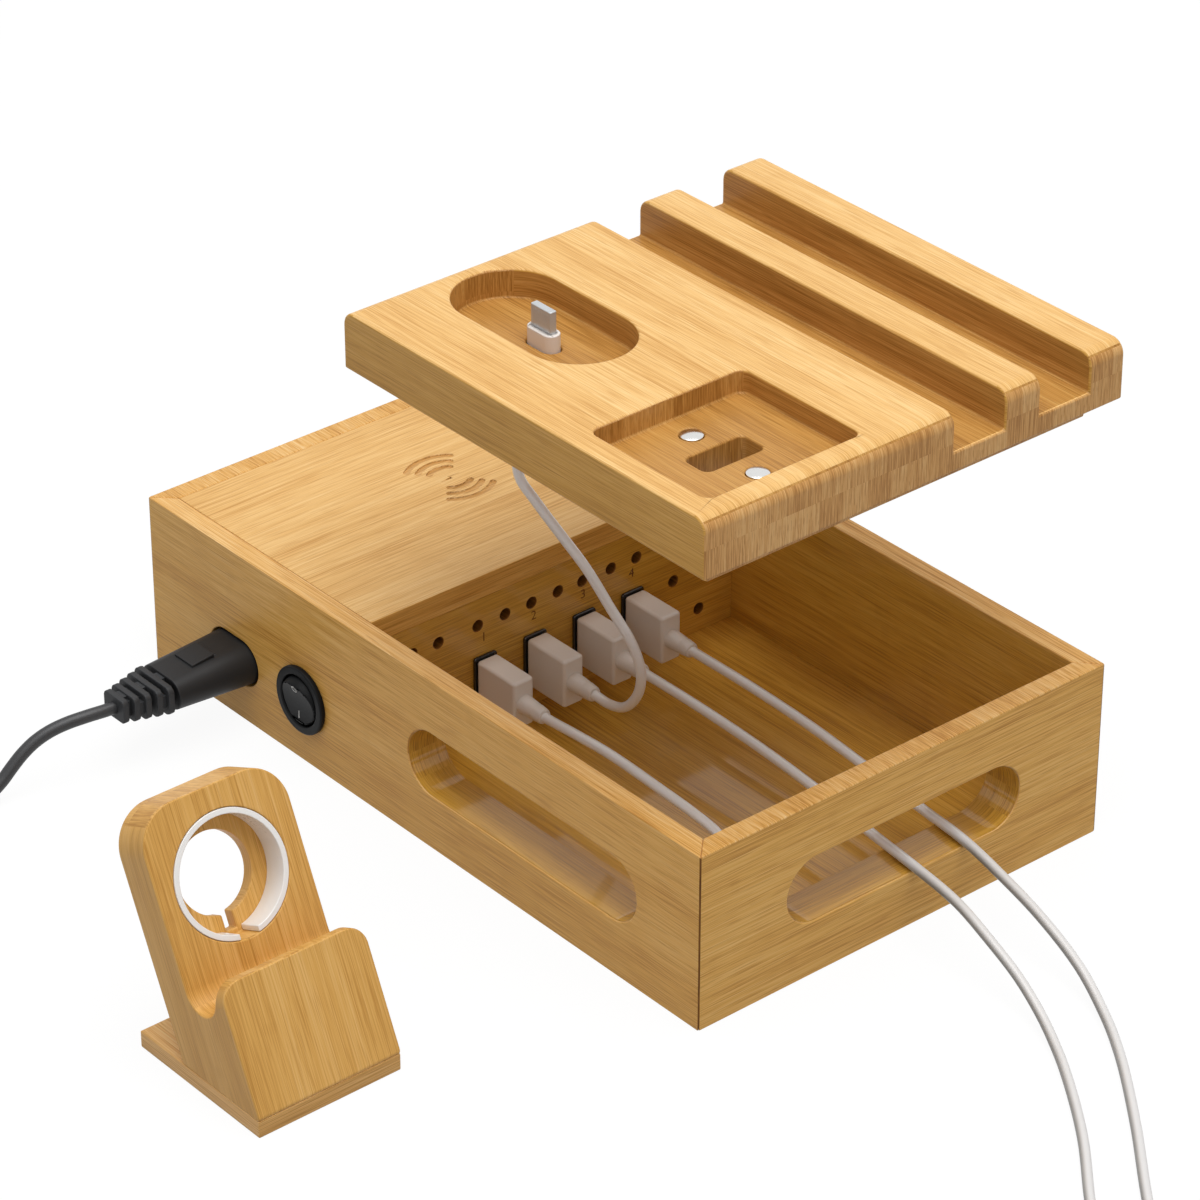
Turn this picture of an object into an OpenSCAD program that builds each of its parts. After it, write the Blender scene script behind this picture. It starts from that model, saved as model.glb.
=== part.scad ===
// Charging station organizer: a bamboo box with an electronics bay, a cable bay,
// a lift-off organizer lid and a watch stand of its own.
// Places are given from the front left corner of the box on the table:
// x to the right, y to the back, z up. The model is centred on the box.

/* [Box] */
// Length of the box, left to right
base_l = 265; // [250:5:340]
// Depth of the box, front to back
base_w = 160; // [156:2:220]
// Height of the box
base_h = 60; // [57:1:90]
// Thickness of the four mitred walls
wall_t = 7; // [6:0.5:8]
// Thickness of the floor board
floor_t = 5; // [4:0.5:6]
// Length of the electronics bay, left end of the box to the face of the port panel
hub_l = 105.5; // [104:0.5:112]
// Thickness of the port panel
panel_t = 6; // [5:0.5:6.5]
// Thickness of the charging deck
deck_t = 8; // [7.5:0.5:10]
// Height and width of the battens that carry the deck
batten = 6; // [5:0.5:9]

/* [Openings in the walls] */
// Length of the cable slot in the front wall
slot_l = 106; // [80:1:120]
// Height of the cable slot in the front wall
slot_h = 22.5; // [16:0.5:26]
// Middle of the front slot from the left end
slot_x = 184.25; // [180:0.5:190]
// Length of the cable opening in the right wall
exit_l = 93; // [60:1:110]
// Height of the cable opening in the right wall
exit_h = 22.5; // [16:0.5:26]
// Height of the middle of both cable openings
slot_z = 30; // [26:0.5:34]
// Diameter of the vent holes in the port panel
vent_d = 3.8; // [2:0.2:5]

/* [Wireless charger under the deck] */
// Middle of the charging coil from the left end
coil_x = 51.6; // [46:0.2:58]
// Middle of the charging coil from the front
coil_y = 80.6; // [70:0.2:90]
// Outer diameter of the charging coil
coil_d = 50; // [40:1:54]
// Hole in the charging coil
coil_bore = 20; // [12:1:26]
// Thickness of the coil, of its shield and of its board
coil_t = 1.6; // [1:0.1:2]
// Side of the square coil board
coil_board_l = 34; // [28:1:38]

/* [Power inlet and lead] */
// Middle of the inlet from the left end
inlet_x = 43; // [36:0.5:48]
// Height of the middle of the inlet
inlet_z = 21; // [19:0.5:24]
// Width of the plug at the wall
plug_w = 23.5; // [20:0.5:25]
// Height of the plug at the wall
plug_h = 14.5; // [12:0.5:16]
// Width of the plug at its strain relief
plug_end_w = 20.5; // [16:0.5:22]
// Height of the plug at its strain relief
plug_end_h = 10.7; // [9.5:0.1:12]
// Length of the plug in front of the wall
plug_l = 28; // [22:1:32]
// Depth that the plug goes into the box
plug_in = 12; // [9:0.5:14]
// Length of the strain relief
relief_l = 18; // [14:0.5:22]
// Width of the strain relief at the cord
relief_w = 12; // [9:0.5:14]
// Height of the strain relief at the cord
relief_h = 8.6; // [7:0.1:9.4]
// Diameter of the power cord
power_d = 4.2; // [3.6:0.1:5]
// Width of the wall plug
wall_plug_w = 24; // [20:1:30]
// Length of the wall plug's body
wall_plug_l = 28; // [24:1:34]

/* [Power switch] */
// Middle of the switch from the left end
switch_x = 79; // [74:0.5:84]
// Height of the middle of the switch
switch_z = 22.8; // [20:0.2:26]
// Diameter of the switch's bezel
bezel_d = 23; // [22:0.5:26]
// Thickness of the bezel in front of the wall
bezel_t = 2; // [1:0.1:2.5]
// Diameter of the switch's body in the wall
switch_d = 20.4; // [19.6:0.1:21]
// Diameter of the opening that the rocker sits in
rocker_bore = 17.4; // [16:0.1:17.6]
// Depth of the switch behind the front face
switch_depth = 16; // [14:0.5:20]
// Tilt of the rocker to each side
rocker_tilt = 8; // [6:0.5:9]

/* [Ports and plugs] */
// Distance between neighbouring ports
port_pitch = 20; // [18:0.5:24]
// Middle of the row of ports from the front
port_row_y = 80.5; // [78:0.5:84]
// Height of the middle of the ports
port_z = 22.6; // [21:0.2:26]
// Height of a port's bezel
port_bezel_h = 18; // [17:0.5:20]
// Width of a port's bezel
port_bezel_w = 9; // [8.6:0.1:12]
// Height of a plug's moulded grip
grip_h = 17; // [15:0.5:20]
// Width of a plug's moulded grip
grip_w = 8; // [7:0.1:9]
// Length of a plug's moulded grip
grip_l = 18.2; // [15:0.2:24]
// Length of a plug's strain relief
boot_l = 10; // [8:0.5:12]
// Diameter of a plug's strain relief at the grip
boot_d = 6.4; // [5.6:0.1:7]
// Height of a plug's metal shell
shell_h = 12; // [11:0.1:12.2]
// Width of a plug's metal shell
shell_w = 4.5; // [4.2:0.1:4.8]
// Length of a plug's metal shell
shell_l = 12; // [10:0.5:13]
// Diameter of the charging leads
lead_d = 3.2; // [2.8:0.1:3.4]

/* [Lid] */
// Thickness of the lid
lid_t = 19; // [17:0.5:22]
// Height that the lid is lifted above the box
lid_lift = 90; // [60:1:110]
// Depth of the solid block at the front of the lid
block_w = 93; // [86:1:100]
// Width of each slot that a device stands in
rest_w = 20; // [12:1:21]
// Width of the rail between the slots
rail_w = 13.5; // [10:0.5:16]
// Wood left under the slots
rest_floor = 6.5; // [4:0.5:8]
// Rounding of the lid's left and right upper edges
lid_round = 4.5; // [2:0.5:6]
// Height of the locating frame under the lid
frame_h = 6.4; // [4:0.2:8]
// Width of the locating frame's strips
frame_w = 8; // [5:0.5:10]
// Gap between the locating frame and the walls
frame_gap = 0.4; // [0.3:0.1:1]

/* [Phone recess and connector] */
// Middle of the oval recess from the lid's left end
oval_x = 40.1; // [38:0.1:44]
// Middle of the oval recess from the front
oval_y = 42.4; // [38:0.2:48]
// Length of the oval recess
oval_l = 66; // [56:1:70]
// Width of the oval recess
oval_w = 34.5; // [26:0.5:38]
// Depth of the oval recess
oval_depth = 9.5; // [6:0.5:12]
// Length of the phone connector's base
dock_l = 12.1; // [10:0.1:14]
// Width of the phone connector's base
dock_w = 5.6; // [4.8:0.1:7]
// Height of the phone connector's base above the recess
dock_h = 6.5; // [4:0.1:8]
// Width of the metal tab
tab_w = 9; // [6:0.1:9.4]
// Thickness of the metal tab
tab_t = 2.5; // [1.4:0.1:2.8]
// Height of the metal tab
tab_h = 9; // [5:0.5:10]

/* [Earbud recess] */
// Left edge of the square recess from the lid's left end
square_x = 100.9; // [96:0.1:102]
// Front edge of the square recess
square_y = 8.4; // [7:0.1:12]
// Length of the square recess
square_l = 50; // [40:1:52]
// Width of the square recess
square_w = 57.1; // [46:0.1:62]
// Depth of the square recess
square_depth = 7.5; // [5:0.5:10]
// Rounding of the square recess's corners
square_round = 3.5; // [2:0.5:8]
// Middle of the cable hole from the lid's left end
hole_x = 124.9; // [118:0.1:130]
// Middle of the cable hole from the front
hole_y = 37.6; // [30:0.2:44]
// Length of the cable hole in it
hole_l = 10; // [6:0.5:12]
// Width of the cable hole in it
hole_w = 22; // [14:0.5:26]
// Rounding of the cable hole's corners
hole_round = 2.5; // [1:0.5:2.5]
// Diameter of the two magnets
magnet_d = 7; // [5:0.5:8]
// Distance between the two magnets
magnet_gap = 28; // [24:1:34]

/* [Watch stand] */
// Front edge of the stand from the left end of the box
stand_x = 224.4; // [200:0.2:240]
// Distance of the stand in front of the box
stand_y = 76.3; // [60:0.5:100]
// Width of the stand
stand_w = 50; // [46:1:60]
// Length of its foot board
foot_l = 56.4; // [54:0.2:70]
// Thickness of its foot board
foot_t = 5.6; // [4:0.2:8]
// Height of the upright front edge above the foot board
toe_h = 1.4; // [0.6:0.2:4]
// Lean of the stand from upright
lean = 24.5; // [20:0.5:25]
// Height of the lip along the lean
lip_h = 39; // [37:0.5:44]
// Thickness of the lip
lip_t = 4.6; // [3.6:0.2:7]
// Rounding of the lip's upper corners
lip_round = 6.5; // [4:0.5:10]
// Width of the groove that a tablet or phone stands in
groove_w = 14.4; // [11:0.2:16]
// Height of the groove's floor along the lean
groove_z = 29.2; // [24:0.2:30]
// Height of the back plate along the lean
plate_h = 88.3; // [86:0.1:100]
// Thickness of the back plate
plate_t = 14; // [12:0.5:16]
// Rounding of the back plate's upper corners
plate_round = 13; // [8:0.5:18]
// Height of the middle of the charger pocket along the lean
ring_z = 61.9; // [58:0.1:64]
// Diameter of the charger pocket
ring_d = 38; // [32:0.5:40]
// Depth of the charger pocket
ring_depth = 9.3; // [6:0.1:10]
// Wall of the white liner ring
ring_t = 1.8; // [1.4:0.1:2.6]
// Gap in the liner ring for the cable
ring_gap = 6.3; // [5:0.1:9]
// Hole through the back plate
back_hole_d = 24.5; // [16:0.5:28]
// Width of the cable slit below the hole
slit_w = 3.5; // [2.5:0.1:5]

/* [Hidden] */
$fn = 48;
// Overrun of every cut past the face that it opens
over = 1;
// Gap between a fixed piece and the hole that it sits in
seat = 0.1;
// Gap between a moving or pulled piece and its neighbour
run_gap = 0.3;
// Rim of wood round the plug in the inlet's opening
inlet_rim = 0.75;

// Derived places
bay_x = hub_l - panel_t;
deck_z = base_h - deck_t;
inner_l = base_l - 2 * wall_t;
inner_w = base_w - 2 * wall_t;
lid_x = hub_l;
lid_l = base_l - hub_l;
lid_z = base_h + lid_lift;
phone_x = lid_x + oval_x;
recess_z = lid_z + lid_t - oval_depth;

// Share of the box's depth and height for each vent hole
vent_shares = [[0.14, 0.71], [0.204, 0.71], [0.301, 0.71], [0.369, 0.71],
    [0.435, 0.71], [0.502, 0.71], [0.564, 0.71], [0.637, 0.71], [0.703, 0.71],
    [0.8, 0.465], [0.868, 0.225]];

// Inlet socket, measured from the wall's inner face
socket_flange_t = 2;
socket_rim = 3;
socket_depth = 15;
socket_cavity = 7;
pin_d = 2.3;
pin_gap = 8.6;
pin_l = 8.5;
pin_tail = 4;

// Switch
rocker_r = rocker_bore / 2 - run_gap;
rocker_y = 1;
rocker_face = 4;
rocker_back = 5;
dish_r = 26;
dish_depth = 0.9;
trunnion_d = 2;
trunnion_l = 0.9;
blade_w = 4.8;
blade_t = 0.8;
blade_l = 8;
blade_gap = 8;

// Rim of the shield round the coil, and the gap round both in the deck's pocket
shield_rim = 1;
pocket_gap = 1;

// Power board and what stands on it
board_t = 1.6;
board_x = 14;
board_l = 78;
board_y = 45;
board_w = 80;
post_h = 5;
post_d = 6;
post_inset = 4;
screw_d = 2.6;
screw_head_d = 5;
screw_head_t = 1.8;
screw_l = 5;
board_z = floor_t + post_h;
top_z = board_z + board_t;
block_l = 12;
block_d = 9;
block_top = 4;
wire_d = 2.4;
core_l = 30;
core_w = 24;
core_h = 20;
bobbin_w = 16;
bobbin_over = 3;
core_shares = [0.7, 0.4];
cap_sizes = [[13, 22], [10, 16], [8, 12]];
cap_shares = [[0.16, 0.4], [0.16, 0.62], [0.16, 0.8]];

// Ports
port_board_h = 24.4;
port_board_l = 85;
can_h = 14;
can_w = 6.3;
can_t = 0.35;
can_inset = 0.2;
can_l = 16.7;
tongue_h = 10.6;
tongue_t = 1.5;
tongue_l = 11;
port_flange_t = 1;
port_hole_h = 15.6;
port_hole_w = 7.7;
shell_t = 0.3;
insert_t = 1.9;
grip_round = 2.6;
grip_corner = 3.4;
boot_steps = 4;
boot_end_d = 4.6;
port_x = hub_l + port_flange_t;
grip_x = port_x + run_gap;
boot_x = grip_x + grip_l;
lead_x = boot_x + boot_l;

// Connectors at the free ends of the leads
end_w = 9.6;
end_t = 6.4;
end_l = 15;
end_shell_w = 8.3;
end_shell_t = 2.6;
end_shell_l = 6.6;
end_boot_l = 6;

// Power plug and wall plug
pad_w = 8;
pad_l = 9;
pad_t = 0.5;
rib_n = 5;
rib_share = 0.6;
relief_core_d = 6.4;
bridge_w = 4;
blade_pitch = 12.7;
wall_blade_t = 1.5;
wall_blade_w = 6.3;
wall_blade_l = 16;
wall_blade_hole = 3;
wall_boot_l = 10;
wall_boot_d = 8;

// Connector in the lid
dock_slot_gap = 0.3;
clip_l = 22;
clip_w = 12;
clip_t = 2;
dock_boot_l = 6;
dock_boot_d = 5;
magnet_t = 3;
magnet_proud = 0.6;

// Rings along a loop, loops of a coil and the step between loops
loop_rings = 24;
power_loops = 7;
power_step = 4.8;
power_loop_r = 17;
lead_3_loops = 6.125;
lead_4_loops = 6;
lead_step = 4;
lead_loop_r = 11.5;

// Cord routes from the box's front left corner
power_route = [[43, -49, 21], [41.5, -55.5, 20.8], [39.8, -61.5, 20],
    [38.4, -67, 18.6], [37.4, -72, 16.4], [37, -76.5, 13.6], [36.9, -80.5, 10.4],
    [36.9, -84.5, 7], [37, -89.5, 4.2], [37, -96, 2.5], [37, -104, 2.2]];
power_centre = [3.2, -118];
power_start = 0;
lead_1_route = [[150, 50.5, 23.6], [166, 50.5, 24.4], [190, 50.4, 23.6],
    [206, 50.4, 22.6], [216, 50.4, 21], [224, 49.8, 17.8], [231, 47.8, 13],
    [236, 44.4, 9.6], [238, 39.8, 8.4]];
lead_1_end = [238, 36.6, 8.4];
dock_route = [[141.6, 70.5, 22.5], [149, 70, 25], [155, 69.2, 30.6],
    [159.4, 68, 38], [161.8, 66, 47], [160.6, 63.4, 56.6], [155.8, 59.6, 67.4],
    [149.8, 54.5, 81.4], [143.4, 49.8, 92.2], [137.4, 45.4, 102.4],
    [133.4, 42.6, 110], [133, 42.4, 118.4], [136.2, 42.4, 126.6],
    [141.6, 42.4, 133.4], [145.1, 42.4, 138.4]];
lead_3_route = [[160, 90.4, 22.8], [190, 90, 22.2], [220, 88.4, 21.4],
    [246, 86, 20.8], [266, 84.3, 20.7], [285, 83.8, 18.6], [300, 83, 14.4],
    [314, 82, 9.3], [328, 77.3, 4.7], [340, 71, 2.1], [349, 65.2, 1.7],
    [372.6, 48.4, 1.7], [394, 29.4, 1.7]];
lead_3_centre = [406.9, -12];
lead_3_start = 50;
lead_4_route = [[160, 110.4, 22.8], [190, 110, 22.2], [220, 108, 21.4],
    [246, 106, 20.8], [266, 104, 20.7], [283, 102, 17.7], [300, 100, 13.5],
    [320, 97.5, 7.5], [336, 92, 3], [347.2, 85.5, 1.7], [375, 63, 1.7],
    [403.2, 40.3, 1.7]];
lead_4_centre = [446.1, 37.8];
lead_4_start = 233;

// Colours
wood = "#d9b67a";
rim_wood = "#c79b5c";
black = "#202022";
pearl = "#e6e2dc";
metal = "#b9bcc0";
green = "#2f6b46";
copper = "#b8733a";

// Shapes
module at_corner() {
    translate([-base_l / 2, -base_w / 2, 0]) children();
}

module stadium_y(l, h, t) {
    translate([-(l - h) / 2, 0, -h / 2]) cube([l - h, t, h]);
    for (side = [-1, 1]) {
        translate([side * (l - h) / 2, 0, 0]) rotate([-90, 0, 0]) cylinder(d = h, h = t);
    }
}

module stadium_x(l, h, t) {
    rotate([0, 0, -90]) stadium_y(l, h, t);
}

module stadium_z(l, w, t) {
    translate([-(l - w) / 2, -w / 2, 0]) cube([l - w, w, t]);
    for (side = [-1, 1]) {
        translate([side * (l - w) / 2, 0, 0]) cylinder(d = w, h = t);
    }
}

module rounded_rect(l, w, r) {
    square([l - 2 * r, w], center = true);
    square([l, w - 2 * r], center = true);
    for (sx = [-1, 1], sy = [-1, 1]) {
        translate([sx * (l / 2 - r), sy * (w / 2 - r)]) circle(r);
    }
}

// Outline with its two upper corners rounded, standing on its lower edge
module arched_rect(l, h, r) {
    translate([-l / 2, 0]) square([l, h - r]);
    translate([-l / 2 + r, 0]) square([l - 2 * r, h]);
    for (side = [-1, 1]) {
        translate([side * (l / 2 - r), h - r]) circle(r);
    }
}

// A plane outline drawn in x and z and carried along y
module along_y(t) {
    translate([0, t, 0]) rotate([90, 0, 0]) linear_extrude(t) children();
}

// A plane outline drawn in y and z and carried along x
module along_x(t) {
    rotate([90, 0, 90]) linear_extrude(t) children();
}

// Tubes
function unit(v) = v / norm(v);

function tangents(path, first, last) = [for (i = [0 : len(path) - 1])
    i == 0 ? first
    : i == len(path) - 1 ? last
    : unit(unit(path[i + 1] - path[i]) + unit(path[i] - path[i - 1]))];

function ring_points(c, dir, d, sides, level) =
    let (s = unit(cross(dir, level)), u = cross(s, dir))
    [for (k = [0 : sides - 1])
        let (a = (k + 0.5) * 360 / sides) c + (cos(a) * s + sin(a) * u) * d / 2];

function tube_faces(rings, sides) = concat(
    [for (k = [1 : sides - 2]) [0, k + 1, k]],
    [for (i = [0 : rings - 2], k = [0 : sides - 1])
        [i * sides + k, i * sides + (k + 1) % sides, (i + 1) * sides + (k + 1) % sides]],
    [for (i = [0 : rings - 2], k = [0 : sides - 1])
        [i * sides + k, (i + 1) * sides + (k + 1) % sides, (i + 1) * sides + k]],
    [for (k = [1 : sides - 2])
        [(rings - 1) * sides, (rings - 1) * sides + k, (rings - 1) * sides + k + 1]]);

module tube(path, first, last, d, sides = 8, level = [0, 0, 1]) {
    dirs = tangents(path, first, last);
    polyhedron(
        points = [for (i = [0 : len(path) - 1])
            each ring_points(path[i], dirs[i], d, sides, level)],
        faces = tube_faces(len(path), sides));
}

// Two piled layers of loops: in on the lower one, out again on the upper one
function loop_point(t, loops, step, r, d, centre, start, hand) =
    let (a = start + hand * 360 * t,
        radius = r + step * abs(t - loops / 2),
        climb = min(1, max(0, (t - loops / 2) * 2 + 0.5)))
    [centre[0] + radius * cos(a), centre[1] + radius * sin(a), d / 2 + seat + climb * step];

function loop_heading(start, hand) = [-hand * sin(start), hand * cos(start), 0];

function loop_path(loops, step, r, d, centre, start, hand, drop) =
    let (run_in = loop_heading(start, hand),
        run = loop_heading(start + hand * 360 * loops, hand),
        mouth = loop_point(0, loops, step, r, d, centre, start, hand),
        tail = loop_point(loops, loops, step, r, d, centre, start, hand),
        down = [0, 0, -drop])
    concat([mouth - run_in * d],
        [for (i = [0 : loops * loop_rings])
            loop_point(i / loop_rings, loops, step, r, d, centre, start, hand)],
        [tail + run * 2 * d, tail + run * 4 * d + down / 2, tail + run * 6 * d + down,
            tail + run * 7 * d + down]);

// Least distance between turns of the same coil, tube wall to tube wall
function least_gap(path, d) = min([for (i = [0 : len(path) - 1], j = [i + loop_rings / 2 : len(path) - 1])
    norm(path[i] - path[j])]) - d;

power_loop = loop_path(power_loops, power_step, power_loop_r, power_d, power_centre,
    power_start, -1, 0);
lead_drop = lead_d / 2 + seat + lead_step - end_t / 2;
lead_3_loop = loop_path(lead_3_loops, lead_step, lead_loop_r, lead_d, lead_3_centre,
    lead_3_start, -1, lead_drop);
lead_4_loop = loop_path(lead_4_loops, lead_step, lead_loop_r, lead_d, lead_4_centre,
    lead_4_start, 1, lead_drop);
echo(power_coil_gap = least_gap(power_loop, power_d),
    lead_3_coil_gap = least_gap(lead_3_loop, lead_d),
    lead_4_coil_gap = least_gap(lead_4_loop, lead_d));

function path_length(path) = len(path) < 2 ? 0
    : norm(path[1] - path[0]) + path_length([for (i = [1 : len(path) - 1]) path[i]]);
function last_point(path) = path[len(path) - 1];

// Box
module base_floor() {
    color(wood) at_corner()
        translate([wall_t, wall_t, 0]) cube([inner_l, inner_w, floor_t]);
}

module front_wall() {
    color(wood) at_corner() difference() {
        linear_extrude(base_h)
            polygon([[0, 0], [base_l, 0], [base_l - wall_t, wall_t], [wall_t, wall_t]]);
        translate([slot_x, -over, slot_z]) stadium_y(slot_l, slot_h, wall_t + 2 * over);
        translate([inlet_x, -over, inlet_z])
            stadium_y(plug_w + 2 * inlet_rim, plug_h + 2 * inlet_rim, wall_t + 2 * over);
        translate([switch_x, -over, switch_z])
            rotate([-90, 0, 0]) cylinder(d = switch_d + 4 * seat, h = wall_t + 2 * over);
    }
}

module back_wall() {
    color(wood) at_corner() linear_extrude(base_h)
        polygon([[0, base_w], [wall_t, base_w - wall_t],
            [base_l - wall_t, base_w - wall_t], [base_l, base_w]]);
}

module left_wall() {
    color(wood) at_corner() linear_extrude(base_h)
        polygon([[0, 0], [wall_t, wall_t], [wall_t, base_w - wall_t], [0, base_w]]);
}

module right_wall() {
    color(wood) at_corner() difference() {
        linear_extrude(base_h)
            polygon([[base_l, 0], [base_l, base_w],
                [base_l - wall_t, base_w - wall_t], [base_l - wall_t, wall_t]]);
        translate([base_l - wall_t - over, base_w / 2, slot_z])
            stadium_x(exit_l, exit_h, wall_t + 2 * over);
    }
}

function port_y(i) = port_row_y + (i - 2.5) * port_pitch;

module port_panel() {
    color(wood) at_corner() difference() {
        translate([bay_x, wall_t, floor_t]) cube([panel_t, inner_w, deck_z - floor_t]);
        for (i = [1 : 4]) {
            translate([bay_x - over, port_y(i), port_z]) along_x(panel_t + 2 * over)
                square([port_hole_w, port_hole_h], center = true);
        }
        for (s = vent_shares) {
            translate([bay_x - over, s[0] * base_w, s[1] * base_h])
                rotate([0, 90, 0]) cylinder(d = vent_d, h = panel_t + 2 * over);
        }
    }
}

shield_d = coil_d + 2 * shield_rim;
pocket_d = shield_d + 2 * pocket_gap;
pocket_h = 3 * coil_t + 2 * seat;

module charging_deck() {
    color(wood) at_corner() difference() {
        translate([wall_t, wall_t, deck_z]) cube([hub_l - wall_t, inner_w, deck_t]);
        translate([coil_x, coil_y, deck_z - over]) cylinder(d = pocket_d, h = pocket_h + over);
    }
}

module deck_battens() {
    color(rim_wood) at_corner() {
        for (y = [wall_t, base_w - wall_t - batten]) {
            translate([wall_t, y, deck_z - batten]) cube([bay_x - wall_t, batten, batten]);
        }
        translate([wall_t, wall_t + batten, deck_z - batten])
            cube([batten, inner_w - 2 * batten, batten]);
    }
}

// Inlet and switch
module inlet_socket() {
    cavity_w = plug_w + 2 * run_gap;
    cavity_h = plug_h + 2 * run_gap;
    color(black) at_corner() translate([inlet_x, wall_t, inlet_z]) difference() {
        union() {
            along_y(socket_flange_t) rounded_rect(plug_w + 4 * socket_rim,
                plug_h + 2 * socket_rim, socket_rim);
            along_y(socket_depth) rounded_rect(plug_w + 2 * socket_rim,
                plug_h + 2 * socket_rim, socket_rim);
        }
        translate([0, -over, 0]) stadium_y(cavity_w, cavity_h, socket_cavity + over);
        for (side = [-1, 1]) {
            translate([side * pin_gap / 2, 0, 0]) rotate([-90, 0, 0])
                cylinder(d = pin_d + 2 * seat, h = socket_depth + over);
        }
    }
}

module inlet_pins() {
    color(metal) at_corner() for (side = [-1, 1]) {
        translate([inlet_x + side * pin_gap / 2, wall_t + socket_cavity - pin_l, inlet_z])
            rotate([-90, 0, 0])
                cylinder(d = pin_d, h = pin_l + socket_depth - socket_cavity + pin_tail);
    }
}

module switch_housing() {
    color(black) at_corner() translate([switch_x, 0, switch_z]) difference() {
        union() {
            translate([0, -bezel_t, 0]) rotate([-90, 0, 0]) cylinder(d = bezel_d, h = bezel_t);
            rotate([-90, 0, 0]) cylinder(d = switch_d, h = switch_depth);
        }
        translate([0, -bezel_t - over, 0]) rotate([-90, 0, 0])
            cylinder(d = rocker_bore, h = bezel_t + over + rocker_y + rocker_r + run_gap);
        translate([0, rocker_y, 0]) rotate([0, 90, 0])
            cylinder(d = trunnion_d + 2 * run_gap, h = rocker_bore + 2 * trunnion_l, center = true);
    }
}

module switch_terminals() {
    color(metal) at_corner() for (side = [-1, 1]) {
        translate([switch_x + side * blade_gap / 2 - blade_t / 2, switch_depth,
            switch_z - blade_w / 2]) cube([blade_t, blade_l, blade_w]);
    }
}

module switch_rocker() {
    color(black) at_corner() translate([switch_x, rocker_y, switch_z]) rotate([rocker_tilt, 0, 0]) {
        difference() {
            rotate([90, 0, 0]) rotate_extrude() intersection() {
                circle(rocker_r);
                translate([0, -rocker_back]) square([rocker_r, rocker_face + rocker_back]);
            }
            translate([0, dish_depth - rocker_face - dish_r, 0]) rotate([0, 90, 0])
                cylinder(r = dish_r, h = 2 * rocker_r, center = true, $fn = 96);
        }
        for (side = [-1, 1]) {
            translate([side * (rocker_bore + trunnion_l) / 2, 0, 0]) rotate([0, -90 * side, 0])
                cylinder(d = trunnion_d, h = rocker_r / 2);
        }
    }
}

// Electronics
module at_posts() {
    for (x = [post_inset, board_l - post_inset], y = [post_inset, board_w - post_inset]) {
        translate([board_x + x, board_y + y, 0]) children();
    }
}

module power_board() {
    color(green) at_corner() difference() {
        translate([board_x, board_y, board_z]) cube([board_l, board_w, board_t]);
        at_posts() translate([0, 0, board_z - over]) cylinder(d = screw_d + 4 * seat, h = board_t + 2 * over);
    }
}

module board_posts() {
    color(pearl) at_corner() at_posts() translate([0, 0, floor_t]) difference() {
        cylinder(d = post_d, h = post_h);
        translate([0, 0, post_h + board_t - screw_l - seat])
            cylinder(d = screw_d + 2 * seat, h = screw_l);
    }
}

module board_screws() {
    color(metal) at_corner() at_posts() translate([0, 0, top_z]) {
        translate([0, 0, -screw_l]) cylinder(d = screw_d, h = screw_l);
        cylinder(d = screw_head_d, h = screw_head_t);
    }
}

module transformer() {
    color(copper) at_corner()
        translate([board_x + core_shares[0] * board_l, board_y + core_shares[1] * board_w, top_z]) {
            translate([-core_l / 2, -core_w / 2, 0]) cube([core_l, core_w, core_h]);
            translate([-bobbin_w / 2, -core_w / 2 - bobbin_over, 0])
                cube([bobbin_w, core_w + 2 * bobbin_over, core_h - bobbin_over]);
        }
}

module capacitors() {
    color(black) at_corner() for (i = [0 : len(cap_sizes) - 1]) {
        translate([board_x + cap_shares[i][0] * board_l,
            board_y + cap_shares[i][1] * board_w, top_z])
                cylinder(d = cap_sizes[i][0], h = cap_sizes[i][1]);
    }
}

// Wires from the inlet and the switch to their terminal blocks on the board
module mains_wires() {
    from_y = [wall_t + socket_depth + pin_tail, switch_depth + blade_l];
    color(black) at_corner() for (i = [0 : 1]) {
        x = [inlet_x, switch_x][i];
        z = [inlet_z, switch_z][i];
        spread = [pin_gap, blade_gap][i];
        for (side = [-1, 1]) {
            translate([x + side * spread / 2, from_y[i], z]) rotate([-90, 0, 0])
                cylinder(d = wire_d, h = board_y + block_d / 2 - from_y[i]);
        }
        translate([x - block_l / 2, board_y + block_d / 2, top_z])
            cube([block_l, block_d, z - top_z + block_top]);
    }
}

module coil_wires() {
    color(copper) at_corner() for (side = [-1, 0]) {
        translate([coil_x + side * coil_board_l / 3, coil_y + coil_board_l / 3, top_z])
            cylinder(d = wire_d, h = deck_z + seat - top_z);
    }
}

module charging_coil() {
    color(copper) at_corner()
        translate([coil_x, coil_y, deck_z + pocket_h - coil_t]) difference() {
            cylinder(d = coil_d, h = coil_t);
            translate([0, 0, -over]) cylinder(d = coil_bore, h = coil_t + 2 * over);
        }
}

module coil_shield() {
    color("#5a5c60") at_corner()
        translate([coil_x, coil_y, deck_z + pocket_h - 2 * coil_t]) cylinder(d = shield_d, h = coil_t);
}

module coil_board() {
    color(green) at_corner()
        translate([coil_x - coil_board_l / 2, coil_y - coil_board_l / 2, deck_z + seat])
            cube([coil_board_l, coil_board_l, pocket_h - 2 * coil_t - seat]);
}

// Ports
module port_board() {
    color(green) at_corner() difference() {
        translate([port_x - can_inset - can_l - board_t, port_row_y - port_board_l / 2, top_z])
            cube([board_t, port_board_l, port_board_h]);
        at_posts() translate([0, 0, top_z - over])
            cylinder(d = screw_head_d + 2 * run_gap, h = over + screw_head_t + run_gap);
    }
}

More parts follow.
